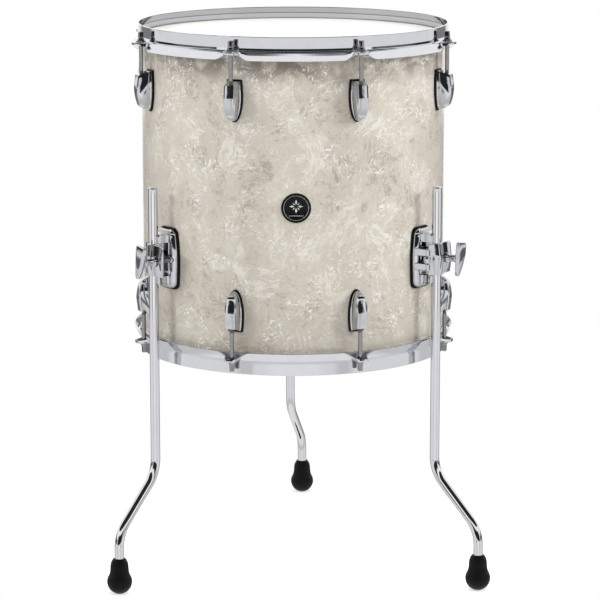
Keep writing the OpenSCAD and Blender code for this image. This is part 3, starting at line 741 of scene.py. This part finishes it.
def lug_piece():
    """A cast lug: rounded base, creased flanks and a nose that leans back at the top."""
    crest, wedge_len = 4.5, 20.0

    def ridge(z):
        """How far the nose stands out: leaning back above its crest, falling away below."""
        if z > crest:
            return LUG_PROUD - (z - crest) * math.tan(math.radians(5.2))
        wedge = min(crest - z, wedge_len)
        tip = max(0.0, crest - z - wedge_len)
        return LUG_PROUD - 0.04 * wedge - 0.0055 * wedge ** 2 - 0.26 * tip - 0.0104 * tip ** 3

    rows = []
    for z in lug_levels():
        w = max(lug_half_width(z), 0.35)
        p = ridge(z)
        k = min(1.0, w / 9.0)
        nose = 7.0 * k
        crease = smooth((z + 6) / 32) ** 0.9
        rim = min(2.4, p - 0.4)
        cu = lerp(nose + 0.5, w - 1.0, crease)
        ch = lerp(p - 2.4 * k, rim + 0.8, crease)
        right = [
            (w, -seat_drop(w, SEAT_R)), (w, rim * 0.45), (w - 0.12 * k, rim * 0.72),
            (w - 0.5 * k, rim * 0.93), (w - 1.0 * k, rim),
        ]
        a, b = Vector((w - 1.3 * k, rim + 0.12)), Vector((cu, ch))
        bulge = Vector((b.y - a.y, a.x - b.x)).normalized() * (0.9 * k * (1 - crease))
        for i in range(1, 7):
            t = i / 7
            right.append(tuple(a.lerp(b, t) + bulge * (4 * t * (1 - t))))
        right.append((cu, ch))
        c = Vector((nose, p - 1.7 * k))
        for i in range(1, 7):
            t = i / 7
            dip = Vector((-0.35, -0.35)) * (4 * t * (1 - t) * crease)
            right.append(tuple(b.lerp(c, t) + dip))
        right += [(nose, p - 1.5 * k), (nose - 0.18 * k, p - 0.8 * k), (nose - 0.7 * k, p - 0.28 * k),
                  (nose - 1.5 * k, p - 0.06 * k), (nose * 0.3, p)]
        section = right + [(0.0, p)] + [(-u, v) for u, v in reversed(right)]
        section += [(w * i / 3, -seat_drop(w * i / 3, SEAT_R)) for i in (-2, -1, 0, 1, 2)]
        lean = (LUG_HALF - NOSE_TOP) / LUG_PROUD * smooth((z - 4) / 22)
        rows.append([(u, -(SEAT_R + v), LUG_Z + z - lean * max(0.0, v)) for u, v in section])
    return loft(rows)


def pad_row(w, z, steps):
    """One level of a gasket: flat underneath, rounded at its outer edge, w half its width."""
    right = [(w, 0.0), (w, 2.2), (w - 0.15, 2.75), (w - 0.45, PAD_H)]
    over = [(w - 0.45 - 2 * (w - 0.45) * i / steps, PAD_H) for i in range(1, steps)]
    under = [(-w + 2 * w * i / steps, 0.0) for i in range(1, steps)]
    row = right + over + [(-u, v) for u, v in reversed(right)] + under
    return [(u, -(SKIN_R + v - seat_drop(u, SKIN_R)), z) for u, v in row]


def gasket_piece():
    """The black gasket, a little larger than the lug."""
    grow = 1.5
    return loft([pad_row(max(lug_half_width(z, grow), 0.5), LUG_Z + z, 6) for z in lug_levels(grow)])


def nut_piece():
    """The collar of a swivel nut round its rod, seen at the top of the lug."""
    return revolve([
        (2.95, NOSE_Z - 12), (4.55, NOSE_Z - 12), (4.55, NOSE_Z + 0.7), (4.3, NOSE_Z + 1.15),
        (3.9, NOSE_Z + 1.3), (3.3, NOSE_Z + 1.2), (2.95, NOSE_Z + 0.7),
    ], 40, closed=True).placed(on_rod)


LUG = lug_piece()
for end, bottom in ENDS:
    build(f"lugs_cast_{end}", each_lug(LUG, bottom), "drum", LUG_CHROME,
          [f"lug_casings_{end}"])
build("lug_pads", both_ends(gasket_piece()), "drum", GASKET_RUBBER,
      ["lug_gaskets"], sharp=50)
build("swivel_nut_collars", both_ends(nut_piece()), "drum", ZINC,
      ["lug_swivel_nuts"])


# ---- tension rods ----
def rod_washer_piece():
    return revolve([
        (3.1, EAR_TOP), (6.2, EAR_TOP), (6.4, EAR_TOP + 0.3), (6.4, EAR_TOP + 1.0),
        (6.1, EAR_TOP + 1.4), (3.4, EAR_TOP + 1.4), (3.1, EAR_TOP + 1.1),
    ], 48, closed=True).placed(on_rod)


def key_head(z0, z1):
    """The square head of a rod: flats with rounded corners and a chamfered end."""
    rows = []
    for z, half, corner in ((z0, 2.9, 0.7), (z1 - 1.1, 2.75, 0.7), (z1 - 0.6, 2.68, 0.75),
                            (z1 - 0.25, 2.45, 0.85), (z1 - 0.05, 2.1, 0.9), (z1, 1.6, 0.9)):
        ring = []
        for q in range(4):
            for k in range(6):
                t = math.radians(90 * q + 90 * k / 5)
                sx, sy = ((1, 1), (-1, 1), (-1, -1), (1, -1))[q]
                ring.append((sx * (half - corner) + corner * math.cos(t),
                             sy * (half - corner) + corner * math.sin(t), z))
        rows.append(ring)
    return loft(rows)


def rod_piece():
    """A tension rod: threaded shank, flanged collar and square head."""
    seat = EAR_TOP + 1.5
    tip = NOSE_Z - 23
    pitch = 0.8
    profile = [(0.0, tip), (1.9, tip), (2.2, tip + 0.5)]
    z = tip + pitch
    while z < NOSE_Z + 6:
        profile += [(2.35, z), (ROD_R, z + pitch * 0.4), (ROD_R, z + pitch * 0.6)]
        z += pitch
    profile += [(ROD_R, z + 0.4), (ROD_R, seat - 0.5), (3.2, seat), (4.5, seat), (4.8, seat + 0.3),
                (4.8, seat + 1.2), (4.72, seat + 1.5), (4.4, seat + 1.9), (4.1, seat + 2.3),
                (3.95, seat + 3.0), (3.5, seat + 3.4), (0.0, seat + 3.4)]
    return revolve(profile, 36).join(key_head(seat + 3.3, seat + 12.0)).placed(on_rod)


ROD, ROD_PAD = rod_piece(), rod_washer_piece()
for i in range(LUGS):
    for end, bottom in ENDS:
        name = f"rod_{end}_{i + 1}"
        build(f"tension_{name}", at_lug(ROD, i, bottom), name, ROD_CHROME, [name],
              sharp=38)
for end, bottom in ENDS:
    build(f"washers_under_rods_{end}", each_lug(ROD_PAD, bottom), "drum", ROD_CHROME,
          [f"rod_washers_{end}"])


# ---- leg brackets ----
def bracket_half_width(z, grow=0.0):
    """Half the width of a bracket's outline: widest in the middle, narrowest at the top."""
    w, h, r = 20.5 + grow, BRACKET_HALF + grow, BRACKET_ROUND
    end = w - (2.5 if z > 0 else 1.2)
    t = min(1.0, abs(z) / (h - r))
    side = w - (w - end) * t * t
    if abs(z) <= h - r:
        return side
    q = (abs(z) - (h - r)) / r
    return end - r + r * math.sqrt(max(0.0, 1 - q * q))


def bracket_levels(grow=0.0):
    """Heights down a bracket, closer together at its rounded ends and beside the jaw."""
    h, r = BRACKET_HALF + grow, BRACKET_ROUND
    turns = (90, 86, 80, 73, 66, 58, 50, 41, 31, 20, 10, 0)
    top = [h - r + r * math.sin(math.radians(t)) for t in turns]
    top += [28.5, 26.5, 24.5, 23.0, 22.3, 22.0, 21.7, 21.2, 20.0, 17.0, 13.0, 9.0, 5.0, 2.0]
    return top + [0.0] + [-z for z in reversed(top)]


def base_piece():
    """The bracket casting: flange, saddle for the leg and a hollow beside the jaw."""
    rows = []
    for z in bracket_levels():
        w = bracket_half_width(z)
        end = BRACKET_HALF - abs(z)
        jaw = 1 - smooth((abs(z) - 21.4) / 0.9)
        height = lerp(2.7, SADDLE_V - 0.7, smooth((end - 0.8) / 6.2))
        bw = min(lerp(10.2 - 0.05 * (end - 8), 6.2, jaw), w - 2.4)
        rim = min(1.0, 0.28 + 0.72 * math.sin(min(1.0, end / 6.5) * math.pi / 2))
        height = max(height, 6.2 * rim)
        reach = min(1.0, (w - bw - 1.6) / 6.5)
        foot = min(lerp(6.4 * rim, 2.6, jaw), height)
        right = [(w, -seat_drop(w, SEAT_R))]
        for du, dv in ((0.0, 0.9), (0.35, 1.9), (1.0, 3.2), (1.9, 4.4), (2.9, 5.3), (4.0, 5.95),
                       (4.9, 6.2)):
            right.append((w - du * reach, dv * rim))
        a, b = Vector((w - 5.2 * reach, 6.15 * rim)), Vector((bw + 1.3, foot))
        for k in range(8):
            t = k / 8
            sag = 4 * t * (1 - t) * (1.3 * jaw + 0.4 * smooth((end - 6) / 8))
            q = a.lerp(b, t)
            right.append((q.x, max(0.5, q.y - sag)))
        for du, t in ((1.3, 0.0), (0.5, 0.06), (0.1, 0.18), (0.0, 0.32), (-0.25, 0.82),
                      (-0.4, 0.92), (-0.9, 0.98), (-1.6, 1.0)):
            right.append((bw + du, lerp(foot, height, t)))
        for k in range(9):
            u = min(LEG_BORE, bw - 1.7) * math.cos(math.radians(90 * k / 8))
            right.append((u, min(height, SADDLE_V - math.sqrt(max(0.0, LEG_BORE ** 2 - u * u)))))
        section = right + [(-u, v) for u, v in reversed(right[:-1])]
        section += [(w * i / 3, -seat_drop(w * i / 3, SEAT_R)) for i in (-2, -1, 0, 1, 2)]
        rows.append([(u, -(SEAT_R + v), BRACKET_Z + z) for u, v in section])
    shape = loft(rows)
    arm = rounded([(-21.5, 1.5), (-9.5, 1.5), (-10.2, PIN_W - GASKET), (-10.2, 22.8), (-19.8, 22.8),
                   (-19.8, PIN_W - GASKET)], [0.5, 0.5, 8.0, 4.3, 4.3, 8.0], 7)
    for mid in (-9.7, 9.7):
        shape.join(plate(arm, soft(mid - 4.6, mid + 4.6, 0.9),
                         lambda x, y, z: (x, -(SEAT_R + y), BRACKET_Z + z)))
    boss = revolve([(3.1, 1.0), (5.6, 1.0), (5.0, 3.0), (4.7, 5.0), (4.6, 7.6), (4.3, 8.2),
                    (3.8, 8.4), (3.1, 8.4)], 40, closed=True)
    shape.join(boss.placed(lambda v: (v[0] + BOLT_U, -(SEAT_R + v[2]), BRACKET_Z + v[1])))
    return shape


def bracket_pad_piece():
    grow = 1.8
    return loft([pad_row(max(bracket_half_width(z, grow), 1.0), BRACKET_Z + z, 8)
                 for z in bracket_levels(grow)])


def arc(cx, cy, r, a0, a1, n):
    """Points along an arc from angle a0 to a1, in degrees."""
    return [(cx + r * math.cos(math.radians(lerp(a0, a1, k / n))),
             cy + r * math.sin(math.radians(lerp(a0, a1, k / n)))) for k in range(n + 1)]


def jaw_piece():
    """The hinged jaw: a cap over the leg, a flat ear and a knuckle on the pin."""
    def place(x, y, z):
        return (x, -(SKIN_R + y), BRACKET_Z + z)

    ear_from, ear_len, corner = 11.0, 16.6, 2.5

    def crowned(x, y, z):
        """Rounds the ear's corners and lowers the cap towards both ends."""
        over = max(0.0, abs(z) - (JAW_HALF - corner))
        if x > ear_from:
            cut = corner - math.sqrt(max(0.0, corner ** 2 - over ** 2))
            x = ear_from + (x - ear_from) * (1 - cut / ear_len)
        if y > 29.5:
            y -= 2.2 * abs(z) / 21
        return place(x, y, z)

    cap = arc(0.0, LEG_W, 9.95, 44, 140, 22)
    body = [(9.95, 25.05), (9.9, 27.2), (10.4, 27.9), (11.2, 28.0), (26.4, 28.0), (27.2, 28.3),
            (27.6, 29.1), (27.6, 31.9), (27.2, 32.7), (26.4, 33.0), (9.2, 33.0), (8.1, 32.9)]
    body += cap + [(-9.4, 30.4), (-13.2, 26.9), (-15.2, 25.9), (-17.4, 25.6), (-18.3, 25.3),
                   (-18.4, 25.05), (-9.95, 25.05)]
    body += [(-6.46, 25.05)] + arc(0.0, LEG_W, 6.46, 178, 2, 20) + [(6.46, 25.05)]
    shape = plate(body, soft(-JAW_HALF, JAW_HALF, 0.7, 0.25), crowned)
    knuckle = revolve([(1.8, -4.5), (4.5, -4.5), (4.85, -4.3), (5.0, -3.9), (5.0, 3.9), (4.85, 4.3),
                       (4.5, 4.5), (1.8, 4.5)], 40, closed=True)
    shape.join(knuckle.placed(lambda v: place(v[0] + PIN_U, v[1] + PIN_W, v[2])))
    web = rounded([(-18.6, 21.5), (-8.0, 21.5), (-8.0, 26.5), (-18.6, 26.0)], [1.5, 1.0, 1.0, 1.0], 4)
    shape.join(plate(web, soft(-4.5, 4.5, 0.6), place))
    return shape


def out_at(u, w0):
    """Places a turned shape so that its axis points outwards at distance u across."""
    return lambda v: (v[0] + u, -(SKIN_R + w0 + v[2]), BRACKET_Z + v[1])


def pin_piece():
    pin = revolve([(0.0, -14.6), (1.2, -14.5), (1.7, -14.1), (1.75, -13.6), (1.75, 13.6),
                   (1.7, 14.1), (1.2, 14.5), (0.0, 14.6)], 24)
    return pin.placed(lambda v: (v[0] + PIN_U, v[1] - SKIN_R - PIN_W, v[2] + BRACKET_Z))


def bolt_piece():
    """The clamp bolt: plain near its head, threaded where the wing nut runs."""
    profile = [(0.0, 4.5), (5.2, 4.5), (5.4, 4.8), (5.4, 8.2), (5.1, 8.5), (3.0, 8.5), (3.0, 17.0)]
    pitch = 1.0
    z = 17.4
    while z < 47.6:
        profile += [(2.6, z), (3.0, z + pitch * 0.38), (3.0, z + pitch * 0.62)]
        z += pitch
    profile += [(2.5, 48.6), (2.1, 49.0), (0.0, 49.0)]
    return revolve(profile, 28).placed(out_at(BOLT_U, 0.0))


def wing_washer_piece():
    ring = revolve([(3.2, 0.1), (6.7, 0.1), (7.0, 0.35), (7.0, 1.2), (6.7, 1.5), (3.6, 1.5),
                    (3.2, 1.2)], 48, closed=True)
    return ring.placed(out_at(BOLT_U, EAR_OUT))


def wing_piece(lean):
    """The wing nut: a waisted barrel and a flat rounded wing across its end."""
    barrel = revolve([
        (0.0, 17.9), (3.06, 17.9), (3.06, 1.6), (5.9, 1.6), (6.25, 1.9), (6.3, 2.4), (6.3, 3.2),
        (6.0, 3.7), (5.3, 4.0), (4.9, 4.6), (4.75, 6.0), (4.75, 11.5), (5.0, 12.6), (5.5, 13.4),
        (5.7, 14.4), (5.7, 15.6), (5.4, 16.6), (5.1, 17.4), (5.1, 20.2), (0.0, 20.2),
    ], 40)
    c, sn = math.cos(math.radians(lean)), math.sin(math.radians(lean))
    near, far = 19.0, 24.2
    mid = (near + far) / 2
    blade = rounded([(-10.4, -20.0), (-5.0, -23.2), (3.6, -9.0), (8.6, 6.0), (9.8, 21.4),
                     (-10.4, 23.2)], [5.0, 4.0, 30.0, 16.0, 3.4, 3.6], 7)

    def thinned(x, y, z):
        """Leans the wing and makes it a little thinner towards its tips."""
        z = mid + (z - mid) * (1 - 0.16 * (y / 23) ** 2)
        return (x * c + y * sn, y * c - x * sn, z)

    return barrel.join(plate(blade, soft(near, far, 1.4), thinned)).placed(out_at(BOLT_U, EAR_OUT))


BASE, PAD, JAW = base_piece(), bracket_pad_piece(), jaw_piece()
pads, pins, bolts = Shape(), Shape(), Shape()
for side, at in BRACKETS.items():
    swing = turned(at)
    build(f"bracket_cast_{side}", BASE.placed(swing), "drum", BRACKET_CHROME,
          [f"bracket_base_{side}"], sharp=40)
    build(f"jaw_cast_{side}", JAW.placed(swing), f"jaw_{side}", BRACKET_CHROME,
          [f"clamp_jaw_{side}"], sharp=40)
    build(f"washer_under_wing_{side}", wing_washer_piece().placed(swing), f"washer_{side}",
          ROD_CHROME, [f"wing_washer_{side}"])
    build(f"wing_cast_{side}", wing_piece(WING_LEAN[side]).placed(swing), f"wing_{side}",
          BRACKET_CHROME, [f"wing_nut_{side}"], sharp=40)
    pads.join(PAD.placed(swing))
    pins.join(pin_piece().placed(swing))
    bolts.join(bolt_piece().placed(swing))
build("bracket_pads", pads, "drum", GASKET_RUBBER, ["bracket_gaskets"], sharp=50)
build("hinge_pins_domed", pins, "drum", ZINC, ["hinge_pins"])
build("clamp_bolts_threaded", bolts, "drum", ROD_CHROME, ["clamp_bolts"])


# ---- legs and feet ----
# the rounding of a leg's upper end: (drop from the top, taken off the radius)
LEG_TIP = ((0.0, 1.5), (0.25, 0.75), (0.7, 0.25), (1.4, 0.03), (2.2, 0.0))


def leg_path():
    """The centre line of a leg: straight part on the Z axis, foot towards +X."""
    run = (LEG_OFFSET - 2 * BEND_R * (1 - math.cos(BEND_A))) / math.sin(BEND_A)
    end_z = BEND_Z - 2 * BEND_R * math.sin(BEND_A) - run * math.cos(BEND_A)
    pts = [(0, 0, LEG_TOP - drop) for drop, _ in LEG_TIP]
    pts += [(0, 0, lerp(pts[-1][2], BEND_Z, k / 24)) for k in range(1, 24)]
    for k in range(25):
        t = BEND_A * k / 24
        pts.append((BEND_R * (1 - math.cos(t)), 0, BEND_Z - BEND_R * math.sin(t)))
    x0, z0 = pts[-1][0], pts[-1][2]
    for k in range(1, 8):
        d = run * k / 8
        pts.append((x0 + d * math.sin(BEND_A), 0, z0 - d * math.cos(BEND_A)))
    for k in range(25):
        t = BEND_A * (1 - k / 24)
        pts.append((LEG_OFFSET - BEND_R * (1 - math.cos(t)), 0, end_z + BEND_R * math.sin(t)))
    pts += [(LEG_OFFSET, 0, lerp(end_z, 6.0, k / 6)) for k in range(1, 7)]
    return pts


def leg_piece():
    """A bent leg: a round bar whose upper end is rounded over."""
    path = leg_path()
    tip = [LEG_R - less for _, less in LEG_TIP]
    return tube(path, tip + [LEG_R] * (len(path) - len(tip)), 48)


def foot_piece():
    """A rubber foot: round bulb, waist and a shouldered neck over the leg."""
    r, flat = 16.5, 0.5
    low = -math.asin((r - flat) / r)
    pts = [(0.0, 0.0), (r * math.cos(low) * 0.6, 0.0)]
    pts += arc(0.0, r - flat, r, math.degrees(low), 34, 27)
    pts += [(13.0, 27.4), (12.5, 29.4), (12.2, 32.0), (12.0, 35.0), (11.8, 38.2), (11.55, 40.2),
            (11.0, 42.1), (10.1, 44.2), (9.0, 46.1), (8.4, 46.9), (7.9, 47.35), (7.3, 47.5),
            (6.7, 47.4), (6.45, 47.0), (6.45, 30.0), (0.0, 30.0)]
    return revolve(pts, 72).placed(lambda v: (v[0] + LEG_OFFSET, v[1], v[2]))


def leg_move(side):
    """Puts a leg's drawing in its bracket, its foot in its own direction."""
    a, f = math.radians(BRACKETS[side]), math.radians(FOOT_DIR[side] - 90)
    x0, y0 = LEG_RHO * math.sin(a), -LEG_RHO * math.cos(a)
    c, s = math.cos(f), math.sin(f)
    return lambda v: (x0 + v[0] * c - v[1] * s, y0 + v[0] * s + v[1] * c, v[2])


LEG, FOOT = leg_piece(), foot_piece()
for side in BRACKETS:
    build(f"bent_leg_{side}", LEG.placed(leg_move(side)), f"leg_{side}", LEG_CHROME,
          [f"leg_{side}"], sharp=60)
    build(f"bulb_foot_{side}", FOOT.placed(leg_move(side)), f"leg_{side}",
          FOOT_RUBBER, [f"rubber_foot_{side}"], sharp=50)


# ---- badge ----
def badge_pieces():
    """A black disc on the wrap, and the silver ring, star and row of diamonds on it."""
    def front(v):
        """Puts the flat drawing on the front: its back follows the wrap, its face is flat."""
        x, y, h = v
        return (x, -(SKIN_R + h - seat_drop(x, SKIN_R) * max(0.0, 1 - h / 1.2)), BADGE_Z + y)

    disc = revolve([
        (0.0, 0.0), (19.2, 0.0), (19.3, 0.2), (19.3, 0.7), (19.15, 1.05), (18.8, 1.25),
        (18.3, 1.3), (16.9, 1.3), (16.7, 1.22), (0.0, 1.22),
    ], 96).placed(front)
    ring = revolve([
        (15.7, 1.1), (15.73, 1.4), (15.82, 1.48), (16.02, 1.48), (16.11, 1.4), (16.14, 1.1),
    ], 96, closed=True).placed(front)

    def lozenge(cx, cy, long, wide, tilt):
        """A raised diamond about a point of the disc, its long axis turned by tilt."""
        c, sn = math.cos(tilt), math.sin(tilt)
        rows = []
        for h, scale in ((1.1, 1.0), (1.46, 0.97), (1.58, 0.82)):
            corners = ((0, long), (-wide, 0), (0, -long), (wide, 0))
            rows.append([(cx + (x * c - y * sn) * scale, cy + (x * sn + y * c) * scale, h)
                         for x, y in corners])
        ring.join(loft(rows).placed(front))

    rays = 8
    for k in range(rays):
        t = TAU * k / rays
        far, long, wide = ((5.4, 3.6, 1.5), (4.2, 2.3, 0.85))[k % 2]
        lozenge(-far * math.sin(t), 2.4 + far * math.cos(t), long, wide, t)
    for k in range(-4, 5):
        lozenge(2.15 * k, -10.0, 1.15 - 0.08 * abs(k), 0.75, 0.0)
    return disc, ring


DISC, SILVER = badge_pieces()
build("badge_disc", DISC, "drum", ENAMEL, ["badge"], sharp=40)
build("badge_ornament", SILVER, "drum", BADGE_SILVER, sharp=30)


# ---- studio ----
def floor():
    """A pale disc under the feet, which shows in no reflection."""
    m = new_material("studio_paper")
    paper = m.mix(m.noise(m.coords(), 6.0, 3.0), (0.88, 0.88, 0.88), (0.90, 0.90, 0.90))
    m.shader(Base_Color=paper, Roughness=0.9, Specular_IOR_Level=0.1,
             Emission_Color=(1.0, 1.0, 1.0), Emission_Strength=0.5)
    disc = new_object("studio_floor", revolve([(0.0, -0.2), (FLOOR_R, -0.2)], 96), m.owner)
    disc.visible_glossy = False


def sky():
    """The studio that the chrome reflects: plain white to the camera, painted for other rays.

    rise is the height above the horizon and turn the angle from -Y, both in degrees."""
    world = bpy.data.worlds.new("studio")
    bpy.context.scene.world = world
    w = Nodes(world)
    xyz = w.split(w.node("ShaderNodeTexCoord").outputs["Generated"])
    rise = w.times(w.math("ARCSINE", xyz[2]), 180 / math.pi)
    turn = w.math("ABSOLUTE", w.times(w.around(xyz), 180 / math.pi))
    paper, earth = (0.90, 0.885, 0.87), (0.765, 0.76, 0.755)

    # the band over the horizon: dark screens with one pale strip, pale at the back
    band = w.mix(w.span(turn, 116.0, 128.0), (0.02, 0.02, 0.022), paper)
    band = w.mix(w.window(turn, 58.0, 64.0, 92.0, 102.0), band, (0.13, 0.13, 0.135))
    band = w.mix(w.window(turn, 46.0, 49.0, 57.0, 60.0), band, paper)

    # the ground: a rail just below the horizon, darker patches, a greyer middle, pale below
    ground = w.mix(w.window(turn, 126.0, 132.0, 150.0, 158.0), earth, (0.21, 0.205, 0.20))
    rail = w.mix(w.window(turn, 104.0, 112.0, 160.0, 170.0), earth, (0.12, 0.12, 0.13))
    rail = w.mix(w.span(turn, 25.0, 14.0), rail, (1.0, 0.975, 0.95))
    stripes = w.times(w.window(turn, 28.0, 33.0, 39.0, 46.0), 0.85)
    rail = w.mix(stripes, rail, (0.06, 0.06, 0.065))
    upper = w.window(rise, -12.0, -11.4, -8.0, -7.2)
    upper = w.math("MAXIMUM", upper, w.span(rise, -11.4, -12.6, 0.0, 0.28))
    ground = w.mix(upper, ground, rail)
    ground = w.mix(w.span(rise, -20.0, -34.0), ground, (0.60, 0.595, 0.585))
    ground = w.mix(w.span(rise, -42.0, -50.0), ground, (0.83, 0.815, 0.80))

    # the ceiling, with a dark gap over the front
    ceiling = w.mix(w.span(rise, 46.0, 62.0), (0.93, 0.915, 0.90), (0.62, 0.615, 0.61))
    lean = w.plus(rise, w.times(turn, 0.1))
    gap = w.times(w.span(lean, 39.0, 41.0), w.span(turn, 96.0, 88.0))
    ceiling = w.mix(gap, ceiling, (0.02, 0.02, 0.02))

    # joined, with a dip in the horizon at the sides and a lower ceiling behind them
    dip = w.times(w.window(turn, 98.0, 103.0, 117.0, 122.0), 2.6)
    colour = w.mix(w.span(w.plus(rise, dip), -3.5, -1.5), ground, band)
    roof = w.times(w.span(turn, 52.0, 66.0), 13.0)
    colour = w.mix(w.span(w.plus(rise, roof), 19.0, 26.0), colour, ceiling)

    path = w.node("ShaderNodeLightPath").outputs
    painted = w.tree.nodes["Background"]
    w.put(painted.inputs["Color"], colour)
    w.put(painted.inputs["Strength"], w.plus(1.0, w.times(path["Is Glossy Ray"], 0.3)))
    plain = w.node("ShaderNodeBackground", {"Color": (1.0, 1.0, 1.0), "Strength": 1.0})
    both = w.node("ShaderNodeMixShader", {0: path["Is Camera Ray"], 1: painted.outputs[0],
                                          2: plain.outputs[0]})
    w.put(w.tree.nodes["World Output"].inputs["Surface"], both.outputs[0])


def lamps():
    for name, place, size, power in (
        ("light_top", (0.0, -0.9, 2.9), 1.8, 30.0),
        ("light_left", (-3.0, -1.3, 2.0), 1.2, 34.0),
        ("light_right", (3.1, -1.2, 1.9), 1.2, 48.0),
    ):
        data = bpy.data.lights.new(name, "AREA")
        data.shape, data.size, data.energy = "DISK", size, power
        lamp = linked(name, data)
        lamp.location = place
        lamp.visible_glossy = False
        aim = Vector((0, 0, 0.45)) - Vector(place)
        lamp.rotation_euler = aim.to_track_quat("-Z", "Y").to_euler()


def camera():
    """The camera where the photo's stood, fitted to the edges of the drum."""
    data = bpy.data.cameras.new("camera")
    data.sensor_width = 36.0
    data.lens = 166.44
    data.shift_y = -0.01784
    cam = linked("camera", data)
    cam.location = (-0.06838, -3.7064, 1.0995)
    cam.rotation_euler = (math.radians(90 - 11.171), 0.0, math.radians(-1.2))
    bpy.context.scene.camera = cam
    bpy.context.scene.view_settings.view_transform = "Standard"


floor()
sky()
lamps()
camera()
